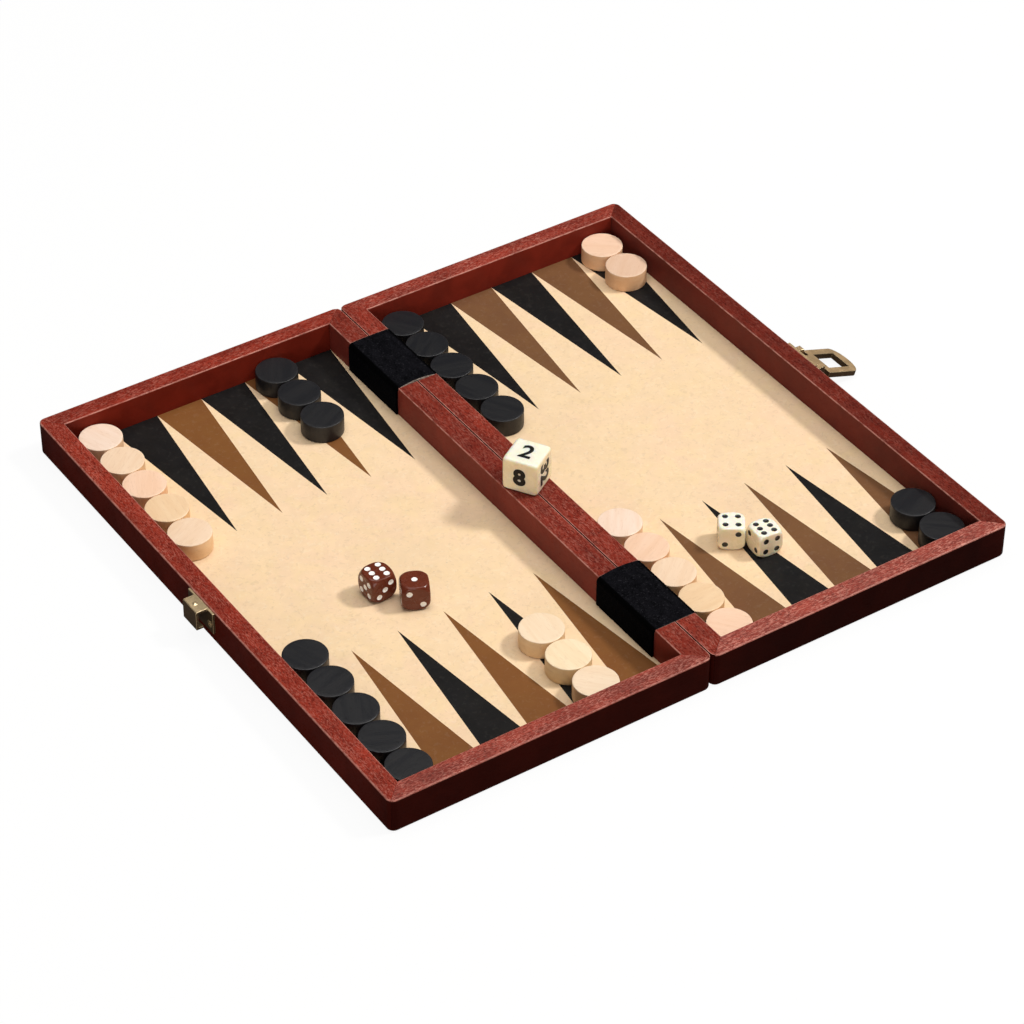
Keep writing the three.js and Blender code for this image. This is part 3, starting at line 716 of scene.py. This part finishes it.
# Printed sheet: twelve points as triangles on the long edges, and the ground between their zigzags as one face.
# All faces look outwards, so far points and the ground are listed backwards
def fieldSheet(half):
    low, high = boxOf(f"{half}_printed_field")
    count, reach = fieldSpec["points"], fieldSpec["pointLength"]
    base = np.linspace(low[0], high[0], count + 1)
    tip = (base[:-1] + base[1:]) / 2
    lines = [(base, high[1]), (tip, high[1] - reach), (base, low[1]), (tip, low[1] + reach)]
    plan = np.concatenate([np.stack([x, np.full(len(x), y)], 1) for x, y in lines])
    farBase, farTip, nearBase, nearTip = np.cumsum([0] + [len(x) for x, _ in lines])[:4].tolist()
    total = len(plan)
    places = np.concatenate([np.c_[plan, np.full(total, z)] for z in (high[2], low[2])])
    faces, slots = [], []
    for baseStart, tipStart, side in ((farBase, farTip, "far"), (nearBase, nearTip, "near")):
        for i in range(count):
            point = [baseStart + i, baseStart + i + 1, tipStart + i]
            faces.append(point[::-1] if side == "far" else point)
            slots.append(2 if (i % 2 == 0) == fieldSpec["startsBlack"][side] else 1)
    ground = [farBase]
    for i in range(count):
        ground += [farTip + i, farBase + i + 1]
    ground.append(nearBase + count)
    for i in reversed(range(count)):
        ground += [nearTip + i, nearBase + i]
    rim = [farBase + i for i in range(count + 1)] + [nearBase + i for i in reversed(range(count + 1))]
    faces += [ground[::-1], [i + total for i in rim]]
    faces += [[a, b, b + total, a + total] for a, b in zip(rim, rim[1:] + rim[:1])]
    slots += [0] * (len(faces) - len(slots))
    return places, faces, slots


for half in ("left", "right"):
    places, faces, slots = fieldSheet(half)
    inks = [prints[name] for name in ("beige_print", fieldSpec["brown"][half], "black_print")]
    ride = (f"{half}_tray", [f"{half}_printed_field"], "field_print")
    makePiece(f"{half}_field_sheet", places, faces, inks, ride, faceSlots=slots, sharp=20)
    for part, finish in (("bottom_panel", veneer), ("steel_sheet", steel)):
        cadNodes[f"{half}_{part}"].data.materials.clear()
        cadNodes[f"{half}_{part}"].data.materials.append(finish)
print("fields made: 2")

strapSpec = {
    "length": 36.0 * mm,  # along the seam
    "thickness": 0.9 * mm,
    "shoulder": 1.9 * mm,  # outer radius where the strap turns down
    "crown": {"far": (1.0 * mm, 0.3 * mm), "near": (0.1 * mm, 1.05 * mm)},  # arch over the bar, near end first
    "crownUnder": 0.45,  # share of the arch that the underside lacks
    "crease": 0.08 * mm,  # dip over the seam
    "creaseReach": 0.8 * mm,
    "nap": 0.035 * mm,
    "ragged": 0.35 * mm,
    "raggedReach": 1.2 * mm,  # height over which the lower edges are uneven
    "frayed": {"far": 1.0, "near": 0.3},  # how much of the pale backing shows along the cut edge
    "cutEdge": (0.15, 0.95),  # from and to, as shares of the thickness
    "hangPaintedLit": 0.03,  # painted shade where it hangs: share of the top's colour
    "fold": 0.7 * mm,  # half width of the stretch over the seam
    "crowd": 1.7,  # how closely the lines on top crowd towards the seam
    "dropSteps": 30,
    "bendSteps": 7,
    "topSteps": 36,
    "acrossSteps": 84,
    "edgeSteps": 5,
    "underSteps": 14,
}


# Strap: a flat band with rounded sides carried up one inner face, over the bar and down the other.
# On top it dips by a bell curve over the seam and arches by one less the squared share of the half width
def makeStrap(name, end):
    s = strapSpec
    left, right = boxOf(f"{end}_strap_left_leaf"), boxOf(f"{end}_strap_right_leaf")
    xOut, low, top = right[1][0] - seamX, left[0][2], left[1][2]
    yMid, half, r, thick = (left[0][1] + left[1][1]) / 2, s["length"] / 2, s["shoulder"], s["thickness"]
    rise = np.linspace(low, top - r, s["dropSteps"])
    risePath = np.stack([np.full_like(rise, -xOut), rise], 1)
    bend = arcInside((-xOut + r, top - r), r, 180, 90, s["bendSteps"])
    flatX = -(np.linspace(1, 0, s["topSteps"]) ** s["crowd"]) * (xOut - r)
    flat = np.stack([flatX, np.full_like(flatX, top)], 1)
    halfPath = np.concatenate([risePath, bend, flat])
    path = np.concatenate([halfPath, halfPath[-2::-1] * [-1, 1]])
    inner = np.clip(1 - (np.abs(path[:, 0]) / (xOut - r)) ** 2, 0, 1)
    onTop = path[:, 1] > top - hair
    path[:, 1] -= onTop * s["crease"] * np.exp(-((path[:, 0] / s["creaseReach"]) ** 2))
    step = np.gradient(path, axis=0)
    towardsWood = np.stack([step[:, 1], -step[:, 0]], 1) / np.linalg.norm(step, axis=1, keepdims=True)
    y = np.linspace(-half, half, s["acrossSteps"])
    y[0], y[-1] = -half + thick / 2, half - thick / 2
    roundY, roundDepth = arcInside((half - thick / 2, thick / 2), thick / 2, -90, 90, s["edgeSteps"]).T
    under = np.linspace(half - thick / 2, -half + thick / 2, s["underSteps"])
    sectionY = np.concatenate([y, roundY, under, -roundY[::-1]])
    depth = np.concatenate([np.zeros_like(y), roundDepth, np.full(len(under), thick), roundDepth[::-1]])
    face = np.concatenate([np.ones_like(y), np.zeros(len(sectionY) - len(y))])
    fuzz = draw.normal(0, s["nap"], (len(path), len(sectionY))) * face
    fuzz[:, : len(y)] = (fuzz[:, : len(y)] + np.roll(fuzz[:, : len(y)], 1, 1)) / 2
    deep = depth[None, :] + np.clip(fuzz, -2 * s["nap"], 2 * s["nap"])
    fray = np.clip(np.abs(draw.normal(0, s["ragged"] / 2, len(sectionY))), 0, s["ragged"])
    arch = np.interp(sectionY, [-half, half], s["crown"][end]) * (1 - s["crownUnder"] * depth / thick)
    lift = np.clip(1 - (path[:, 1] - low) / s["raggedReach"], 0, 1)[:, None] * fray[None, :]
    lift = lift + (onTop * inner)[:, None] * arch[None, :]
    places = np.empty((len(path), len(sectionY), 3))
    places[..., 0] = seamX + path[:, :1] + towardsWood[:, :1] * deep
    places[..., 1] = yMid + sectionY[None, :]
    places[..., 2] = path[:, 1:] + towardsWood[:, 1:] * deep + lift
    cutFrom, cutTo = s["cutEdge"]
    cutEdge = (sectionY < 0) & (depth > cutFrom * thick) & (depth < cutTo * thick)
    attributes = {
        "fray": (onTop[:, None] * cutEdge * s["frayed"][end]).ravel(),
        # painted shade: the hanging parts keep a small share of colour
        "paintedLitShare": np.repeat(np.where(onTop, 1.0, s["hangPaintedLit"]), len(sectionY)),
    }
    ride = (None, [f"{end}_strap_left_leaf", f"{end}_strap_right_leaf"], "velvet")
    strap = makePiece(name, places, tubeFaces(len(path), len(sectionY)), [velvet], ride, attributes, sharp=70)
    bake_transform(strap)


for end in ("far", "near"):
    makeStrap(f"{end}_velvet_strap", end)

latchSpec = {
    "weld": 1e-6,
    "flatAngle": 1.5,  # faces within this many degrees are joined
    "ease": 0.22 * mm,
    "easeSteps": 2,
    "easeAngle": 30,
    "sharp": 35,
    "nubIn": 2.6 * mm,  # from the hook's outer face
    "nubRadius": 1.3 * mm,
    "nubHeight": 0.4 * mm,
    "nubSunk": 0.02 * mm,
    "nubFirstRing": 0.05,  # as a share of the radius
    "nubRings": 10,
    "nubTurns": 32,
}


# Brass piece with eased edges: the CAD solid merged into one skin, its flats joined, then bevelled
def makeBrass(name, node, body, finish):
    s = latchSpec
    work = bmesh.new()
    work.from_mesh(cadNodes[node].data)
    bmesh.ops.remove_doubles(work, verts=work.verts, dist=s["weld"])
    joined = math.radians(s["flatAngle"])
    bmesh.ops.dissolve_limit(work, angle_limit=joined, verts=work.verts, edges=work.edges)
    mesh = bpy.data.meshes.new(name)
    work.to_mesh(mesh)
    work.free()
    mesh.materials.clear()
    for material in (finish, rubbedBrass):
        mesh.materials.append(material)
    mesh.shade_smooth()
    mesh.set_sharp_from_angle(angle=math.radians(s["sharp"]))
    piece = addObject(name, mesh, body, [node], "brass")
    ease = piece.modifiers.new("ease", "BEVEL")
    ease.width, ease.segments = s["ease"], s["easeSteps"]
    ease.limit_method, ease.angle_limit = "ANGLE", math.radians(s["easeAngle"])
    ease.harden_normals, ease.material = True, 1  # eased edges are rubbed bright


for name, node, body, finish in (
    ("catch_hook", "latch_catch", "left_tray", catchBrass),
    ("loop_bracket", "latch_bracket", "right_tray", brass),
    ("swing_loop", "latch_loop", "latch_loop", brass),
):
    makeBrass(name, node, body, finish)

screwSpec = {
    "radius": 1.5 * mm,
    "height": 0.55 * mm,
    "domeFall": 0.55,  # share of the height lost from middle to rim
    "slotHalf": 0.2 * mm,
    "slotWall": 0.5,  # slant of the slot's walls, as a share of its half width
    "slotDepth": 0.3 * mm,
    "firstRing": 0.06,  # as a share of the radius
    "rings": 14,
    "turns": 48,
}


# Screw head: height over the plate falls off as a dome, less a straight slot with soft walls, on rings
def makeScrew(node, body, side, slotAngle):
    s = screwSpec
    low, high = boxOf(node)
    face = high[0] - s["height"] if side > 0 else low[0] + s["height"]
    mid = (low + high) / 2
    radius = np.concatenate([np.linspace(s["firstRing"], 1, s["rings"]), [1.0]])[:, None] * s["radius"]
    turn = fullTurn(s["turns"])
    across, up = radius * np.cos(turn), radius * np.sin(turn)
    dome = s["height"] * (1 - s["domeFall"] * (radius / s["radius"]) ** 2) * np.ones_like(across)
    slot = np.abs(across * math.cos(slotAngle) + up * math.sin(slotAngle))
    wall = s["slotHalf"] * s["slotWall"]
    dome -= s["slotDepth"] * np.clip((s["slotHalf"] + wall - slot) / wall, 0, 1)
    dome[-1] = 0.0
    places = np.stack([face + side * dome, mid[1] + across, mid[2] + up], -1)
    ride = (body, [node], "brass")
    makePiece(node + "_head", places, tubeFaces(*across.shape), [rubbedBrass], ride, sharp=35)


for node, body, side, slotAngle in (
    ("near_catch_screw", "left_tray", -1, 0.4),
    ("far_catch_screw", "left_tray", -1, 1.3),
    ("near_bracket_screw", "right_tray", 1, 0.9),
    ("far_bracket_screw", "right_tray", 1, 0.2),
):
    makeScrew(node, body, side, slotAngle)


# Nub pressed up in the hook's top: a low cosine dome on rings of points
def makeNub():
    s = latchSpec
    low, high = boxOf("latch_catch")
    middle = np.array([low[0] + s["nubIn"], (low[1] + high[1]) / 2, high[2] - s["nubSunk"]])
    share = np.linspace(s["nubFirstRing"], 1, s["nubRings"])[:, None]
    turn = fullTurn(s["nubTurns"])
    rise = s["nubHeight"] * (0.5 + 0.5 * np.cos(math.pi * share)) * np.ones_like(turn)
    reach = share * s["nubRadius"]
    places = middle + np.stack([reach * np.cos(turn), reach * np.sin(turn), rise], -1)
    makePiece("catch_nub", places, tubeFaces(*rise.shape), [rubbedBrass], ("left_tray", (), "brass"), sharp=60)


makeNub()
print("latch made")

checkerSpec = {
    "edge": 0.35 * mm,
    "sideFrom": 0.6,  # share of the edge's radius from which a point counts as the side
    "magnetRadius": 4.0 * mm,
    "magnetInset": 0.3 * mm,
    "magnetRim": 0.1 * mm,
    "turns": 72,
    "arcSteps": 4,
    "tones": {"light": (0.1, 0.75), "dark": (0.2, 1.0)},
    # Light checkers that stand out from the rest: shares of the warm, straw and peach casts, and of shade
    "casts": {
        1: {"tone": 0.0, "shade": 1.01},
        3: {"peach": 0.85},
        4: {"tone": 1.0, "shade": 0.99},
        6: {"peach": 0.85, "shade": 0.95},
        7: {"peach": 0.85, "shade": 0.83},
        8: {"peach": 0.85},
        9: {"tone": 1.0, "shade": 0.98},
        11: {"peach": 0.8, "shade": 0.97},
        12: {"tone": 0.0, "shade": 1.02},
        13: {"straw": 0.45},
        14: {"tone": 0.2, "straw": 0.9, "shade": 1.02},
        15: {"straw": 0.5},
    },
}


# Checker: a section turned about an upright axis, with rounded rims and the magnet's sunk face below.
# Rows of the section are radius, height and rub
def makeChecker(colour, number):
    s = checkerSpec
    node = f"{colour}_checker_{number}"
    low, high = boxOf(node)
    middle, radius, height = (low + high) / 2, (high[1] - low[1]) / 2, high[2] - low[2]
    e, m, sunk, count = s["edge"], s["magnetRadius"], s["magnetInset"], s["turns"]
    rows = [(m * 0.5, sunk, 0), (m - s["magnetRim"], sunk, 0), (m, sunk, 0), (m, 0, 0.2), (radius - e, 0, 0.3)]
    rows += [(x, z, 0.6) for x, z in arcInside((radius - e, e), e, -90, 0, s["arcSteps"])]
    rows += [(radius, e, 0.25), (radius, height / 2, 0), (radius, height - e, 0.3)]
    rows += [(x, z, 1.0) for x, z in arcInside((radius - e, height - e), e, 0, 90, s["arcSteps"])]
    rows += [(radius - e, height, 0.3), (radius * 0.8, height, 0), (radius * 0.4, height, 0)]
    reach, up, rubAndHighlight = np.array(rows).T
    turn = fullTurn(count)
    ringUp = np.broadcast_to(up[:, None], (len(rows), count))
    local = np.stack([np.outer(reach, np.cos(turn)), np.outer(reach, np.sin(turn)), ringUp], -1).reshape(-1, 3)
    faces = tubeFaces(len(rows), count)
    slots = np.zeros(len(faces), np.int32)
    slots[: 2 * count] = 1
    slots[-2] = 1
    grainTurn = draw.uniform(0, math.pi)
    c, w = math.cos(grainTurn), math.sin(grainTurn)
    grain = local @ np.array([[c, -w, 0], [w, c, 0], [0, 0, 1]]) + draw.uniform(-3, 3, 3)
    look = {"tone": draw.uniform(*s["tones"][colour]), "shade": 1.0, "straw": 0.0, "peach": 0.0}
    look |= s["casts"].get(number, {}) if colour == "light" else {}
    inside = s["sideFrom"] * e
    attributes = {
        "grainAt": grain,
        "edgeWearAndHighlight": np.repeat(rubAndHighlight, count),
        "side": np.repeat((reach > radius - inside) & (up < height - inside), count),
        **{label: np.full(len(local), share) for label, share in look.items()},
    }
    wood, slot = (lightWood, "light_wood") if colour == "light" else (blackWood, "black_wood")
    places = local + [middle[0], middle[1], low[2]]
    makePiece(node + "_turned", places, faces, [wood, steel], (node, [node], slot), attributes, slots)


for colour in ("light", "dark"):
    for number in range(1, 16):
        makeChecker(colour, number)
print("checkers made: 30")

diceSpec = {
    "edge": 0.55 * mm,
    "ball": {"brown": 0.705, "ivory": 0.735},  # radius of the trimming ball, as a share of the die
    "pipRadius": 1.15 * mm,
    "pipDepth": 0.34 * mm,
    "pipPower": 0.6,  # under one makes the bowl's walls steeper
    "spread": 0.235,  # between pips, as shares of the die
    "sixAcross": 0.213,
    "sixAlong": 0.28,
    "steps": 62,
    "thrown": {
        "brown_die_1": {"turn": 1, "top": 6, "front": 3, "left": 5, "slant": 1},
        "brown_die_2": {"turn": -25, "top": 1, "front": 2, "left": 4, "slant": -1},
        "ivory_die_1": {"turn": -34, "top": 4, "front": 2, "left": 6, "slant": 1},
        "ivory_die_2": {"turn": -5, "top": 6, "front": 4, "left": 2, "slant": -1},
    },
}
# Faces of a cube: outward axis, then the axes across and up the face
cubeFaces = {
    "top": ((0, 0, 1), (1, 0, 0), (0, 1, 0)),
    "bottom": ((0, 0, -1), (1, 0, 0), (0, -1, 0)),
    "front": ((0, -1, 0), (1, 0, 0), (0, 0, 1)),
    "back": ((0, 1, 0), (1, 0, 0), (0, 0, -1)),
    "left": ((-1, 0, 0), (0, -1, 0), (0, 0, 1)),
    "right": ((1, 0, 0), (0, 1, 0), (0, 0, 1)),
}
opposite = {"bottom": "top", "back": "front", "right": "left"}
flatLines = 0.72  # share of a cube's grid lines that lie on the flat, the rest crowd on the edges
trimPower = 28  # how hard the trimming sphere takes over


# Rounded cube as six square grids: each grid point is pulled onto a ball rolled inside the cube's corners.
# Grid lines crowd towards the edges, and points past the trimming sphere come in to it softly
def roundedCube(half, edge, ball, steps):
    share = np.linspace(-1, 1, steps)
    away, flat = np.abs(share), (half - edge) / half
    onEdge = flat + (away - flatLines) / (1 - flatLines) * (1 - flat)
    line = half * np.sign(share) * np.where(away < flatLines, away / flatLines * flat, onEdge)
    a, b = np.meshgrid(line, line, indexing="ij")
    skins = []
    for outward, across, up in cubeFaces.values():
        grid = half * np.array(outward) + a[..., None] * np.array(across) + b[..., None] * np.array(up)
        core = np.clip(grid, -(half - edge), half - edge)
        skin = core + edge * (grid - core) / np.linalg.norm(grid - core, axis=-1, keepdims=True)
        size = np.linalg.norm(skin, axis=-1, keepdims=True)
        skins.append(skin * (1 + (size / ball) ** trimPower) ** (-1 / trimPower))
    return np.array(skins)


# Middles of a face's pips; the slant says which corner a two or three starts from
def pipSpots(number, slant, size):
    across, along = ("sixAcross", "sixAlong") if number == 6 else ("spread", "spread")
    wide, tall = diceSpec[across] * size, slant * diceSpec[along] * size
    spots = [(0, 0)] if number % 2 else []
    spots += [(-wide, -tall), (wide, tall)] if number > 1 else []
    spots += [(-wide, tall), (wide, -tall)] if number > 3 else []
    spots += [(-wide, 0), (wide, 0)] if number == 6 else []
    return np.array(spots)


# Points turned about an upright axis by an angle, then moved to their middle
def turnedInPlace(local, degrees, middle):
    c, s = math.cos(math.radians(degrees)), math.sin(math.radians(degrees))
    return local @ np.array([[c, s, 0], [-s, c, 0], [0, 0, 1]]) + middle


# Six grids with the shared edges merged: index of each kept grid point, and faces wound outwards
def weldGrids(skins):
    rounded = np.round(skins.reshape(-1, 3) / hair).astype(np.int64)
    _, first, back = np.unique(rounded, axis=0, return_index=True, return_inverse=True)
    count, side = skins.shape[:2]
    faces = np.concatenate([gridFaces(side, side, start=k * side * side) for k in range(count)])
    return first, back.ravel()[faces][:, ::-1].tolist()


# Die: rounded cube whose pips are shallow bowls; the signed distance to the nearest pip's rim colours them
def makeDie(node, spec):
    s = diceSpec
    low, high = boxOf(node)
    size = high[2] - low[2]
    skins = roundedCube(size / 2, s["edge"], s["ball"][node.split("_")[0]] * size, s["steps"])
    marks = []
    for k, (side, (outward, across, up)) in enumerate(cubeFaces.items()):
        number = spec[side] if side in spec else 7 - spec[opposite[side]]  # opposite faces add to seven
        x, y = skins[k] @ np.array(across), skins[k] @ np.array(up)
        spots = pipSpots(number, spec["slant"], size)
        away = np.sqrt((x[..., None] - spots[:, 0]) ** 2 + (y[..., None] - spots[:, 1]) ** 2).min(-1)
        bowl = s["pipDepth"] * np.clip(1 - (away / s["pipRadius"]) ** 2, 0, 1) ** s["pipPower"]
        skins[k] -= bowl[..., None] * np.array(outward)
        marks.append(away - s["pipRadius"])
    kept, faces = weldGrids(skins)
    places = turnedInPlace(skins.reshape(-1, 3)[kept], spec["turn"], (low + high) / 2)
    plastic, slot = (ivory, "ivory_plastic") if node.startswith("ivory") else (brownPlastic, "brown_plastic")
    attributes = {"markEdge": np.array(marks).ravel()[kept]}
    makePiece(node + "_moulded", places, faces, [plastic], (node, [node], slot), attributes, sharp=60)


for node, spec in diceSpec["thrown"].items():
    makeDie(node, spec)
print("dice made: 4")

cubeSpec = {
    "edge": 1.3 * mm,
    "ball": 11.9 * mm,
    "steps": 34,
    "turn": 32,
    "numberHeight": 7.8 * mm,
    "pairHeight": 0.98,  # height of two digits, as a share of one
    "plateHalf": 0.02,  # half thickness of a plate, in units of the font
    "plateSink": 0.5,  # depth of a plate, as a share of its scaled thickness
    "plateWeld": 1e-4,
    "curveSteps": 6,
    "proud": 0.02 * mm,
    # Number, boldness, axis that reads to the right and axis that is up, for each face
    "numbers": {
        "top": ("2", 0.022, (0, -1, 0), (1, 0, 0)),
        "left": ("8", 0.052, (0, -1, 0), (0, 0, 1)),
        "front": ("32", 0.05, (0, 0, -1), (1, 0, 0)),
        "right": ("16", 0.04, (0, 1, 0), (0, 0, 1)),
        "back": ("4", 0.04, (-1, 0, 0), (0, 0, 1)),
        "bottom": ("64", 0.03, (0, 1, 0), (1, 0, 0)),
    },
}


# Number as a thin closed plate about its own middle, a unit high
def numberPlate(text, bold):
    s = cubeSpec
    letters = bpy.data.curves.new("number", "FONT")
    letters.body, letters.offset = text, bold
    letters.extrude, letters.resolution_u = s["plateHalf"], s["curveSteps"]
    holder = bpy.data.objects.new("number", letters)
    bpy.context.scene.collection.objects.link(holder)
    work = bmesh.new()
    work.from_mesh(holder.evaluated_get(bpy.context.evaluated_depsgraph_get()).to_mesh())
    holder.to_mesh_clear()
    bmesh.ops.remove_doubles(work, verts=work.verts, dist=s["plateWeld"])
    bmesh.ops.dissolve_degenerate(work, edges=work.edges, dist=s["plateWeld"])
    bmesh.ops.recalc_face_normals(work, faces=work.faces)
    work.verts.index_update()
    places = np.array([v.co for v in work.verts])
    faces = [[v.index for v in f.verts] for f in work.faces]
    work.free()
    bpy.data.objects.remove(holder)
    bpy.data.curves.remove(letters)
    low, high = places.min(0), places.max(0)
    return (places - [(low[0] + high[0]) / 2, (low[1] + high[1]) / 2, high[2]]) / (high[1] - low[1]), faces


# Doubling cube: rounded cube with a number laid into each face
def makeCube():
    s = cubeSpec
    low, high = boxOf("doubling_cube")
    half = (high[2] - low[2]) / 2
    skins = roundedCube(half, s["edge"], s["ball"], s["steps"])
    kept, faces = weldGrids(skins)
    places = skins.reshape(-1, 3)[kept]
    slots = [0] * len(faces)
    for side, (text, bold, right, up) in s["numbers"].items():
        outward = np.array(cubeFaces[side][0])
        plate, plateFaces = numberPlate(text, bold)
        size = s["numberHeight"] * (s["pairHeight"] if len(text) > 1 else 1.0)
        laid = size * plate @ np.array([right, up, outward * s["plateSink"]]) + outward * (half + s["proud"])
        faces += [[i + len(places) for i in f] for f in plateFaces]
        slots += [1] * len(plateFaces)
        places = np.concatenate([places, laid])
    inPlace = turnedInPlace(places, s["turn"], (low + high) / 2)
    ride = ("doubling_cube", ["doubling_cube"], "ivory_plastic")
    unmarked = {"markEdge": np.full(len(places), mm)}
    makePiece("doubling_cube_moulded", inPlace, faces, [cream, ink], ride, unmarked, slots)


makeCube()
print("doubling cube made")

stageSpec = {
    "floorReach": 6.0,
    "floorLines": 9,
    "floorDrop": 0.2 * mm,
    "floorGlow": 0.93,  # share of its own white in what the camera sees of it
    "floorSeen": (0.92, 0.92, 0.92),
    "floorRough": 0.9,
    "floorBounce": (0.14, 0.13, 0.125),
    "skySeen": 1.0,
    "skyGiven": 0.04,
}


# Pale floor that throws back less light than it shows, so the case sides stay as deep as in the photograph
def makeStage():
    s = stageSpec
    line = np.linspace(-s["floorReach"], s["floorReach"], s["floorLines"])
    x, y = np.meshgrid(line, line, indexing="ij")
    places = np.stack([x, y, np.full_like(x, -s["floorDrop"])], -1)
    material = newMaterial("pale_floor")
    seen = addNode("ShaderNodeLightPath").outputs["Is Camera Ray"]
    colour = mixed(seen, s["floorBounce"], s["floorSeen"])
    dressed(material, {"Base Color": colour, "Roughness": s["floorRough"], "Specular IOR Level": 0.0})
    nodes = material.node_tree.nodes
    glow = addNode("ShaderNodeEmission", {"Color": (1, 1, 1, 1), "Strength": 1.0}).outputs[0]
    parts = {0: times(seen, s["floorGlow"]), 1: nodes["Principled BSDF"].outputs[0], 2: glow}
    feed(nodes["Material Output"].inputs["Surface"], addNode("ShaderNodeMixShader", parts).outputs[0])
    floor = makePiece("floor", places, gridFaces(*x.shape), [material])
    world = bpy.data.worlds.new("studio")
    bpy.context.scene.world = world
    world.use_nodes = True
    begun.append(world.node_tree)
    seen = addNode("ShaderNodeLightPath").outputs["Is Camera Ray"]
    strength = between(seen, 0, 1, s["skyGiven"], s["skySeen"])
    fill(world.node_tree.nodes["Background"].inputs, {"Color": (1, 1, 1, 1), "Strength": strength})


makeStage()

# Soft boxes aimed at the seam: place in metres from it at table height, size, power and colour
lightSpec = {
    "key": {"place": (2.74, -1.16, 3.46), "size": 0.64, "power": 121.0, "colour": (1.0, 0.97, 0.93)},
    "overhead": {"place": (0.06, 0.03, 1.6), "size": 1.3, "power": 18.4, "colour": (1.0, 0.985, 0.96)},
    "fill": {"place": (-1.2, -1.6, 0.4), "size": 1.2, "power": 16.2, "colour": (1.0, 0.97, 0.93)},
}
for name, s in lightSpec.items():
    data = bpy.data.lights.new(name, "AREA")
    data.shape, data.size, data.energy, data.color = "SQUARE", s["size"], s["power"], s["colour"]
    lamp = addObject(name, data)
    lamp.visible_camera = False
    lamp.location = np.array(s["place"]) + [seamX, 0, 0]
    lamp.rotation_mode = "QUATERNION"
    lamp.rotation_quaternion = (-Vector(s["place"])).to_track_quat("-Z", "Y")

cameraSpec = {
    "lens": 126.89,
    "sensor": 36.0,
    "clip": (0.05, 50.0),
    "azimuth": -33.848,
    "elevation": 39.007,
    "roll": 0.265,
    "distance": 1.37824,
    "aside": -0.95 * mm,
    "lift": -15.504 * mm,
}


# Camera on a sphere round the middle of the bar, slid aside and down in its own plane, then rolled
def makeCamera():
    s = cameraSpec
    a, e, roll = (math.radians(s[k]) for k in ("azimuth", "elevation", "roll"))
    back = np.array([math.sin(a) * math.cos(e), -math.cos(a) * math.cos(e), math.sin(e)])
    right = np.array([math.cos(a), math.sin(a), 0])
    up = np.cross(back, right)
    turnedRight = math.cos(roll) * right + math.sin(roll) * up
    turnedUp = math.cos(roll) * up - math.sin(roll) * right
    axes = np.eye(4)
    axes[:3, :3] = np.stack([turnedRight, turnedUp, back], 1)
    axes[:3, 3] = [seamX, 0, railTop] + back * s["distance"] + right * s["aside"] + up * s["lift"]
    data = bpy.data.cameras.new("camera")
    data.lens, data.sensor_width = s["lens"], s["sensor"]
    data.clip_start, data.clip_end = s["clip"]
    camera = addObject("camera", data)
    camera.matrix_world = Matrix(axes.tolist())
    bpy.context.scene.camera = camera


makeCamera()
bpy.context.scene.view_settings.view_transform = "Standard"
bpy.context.scene.view_settings.look = "None"
print("stage, light and camera made")
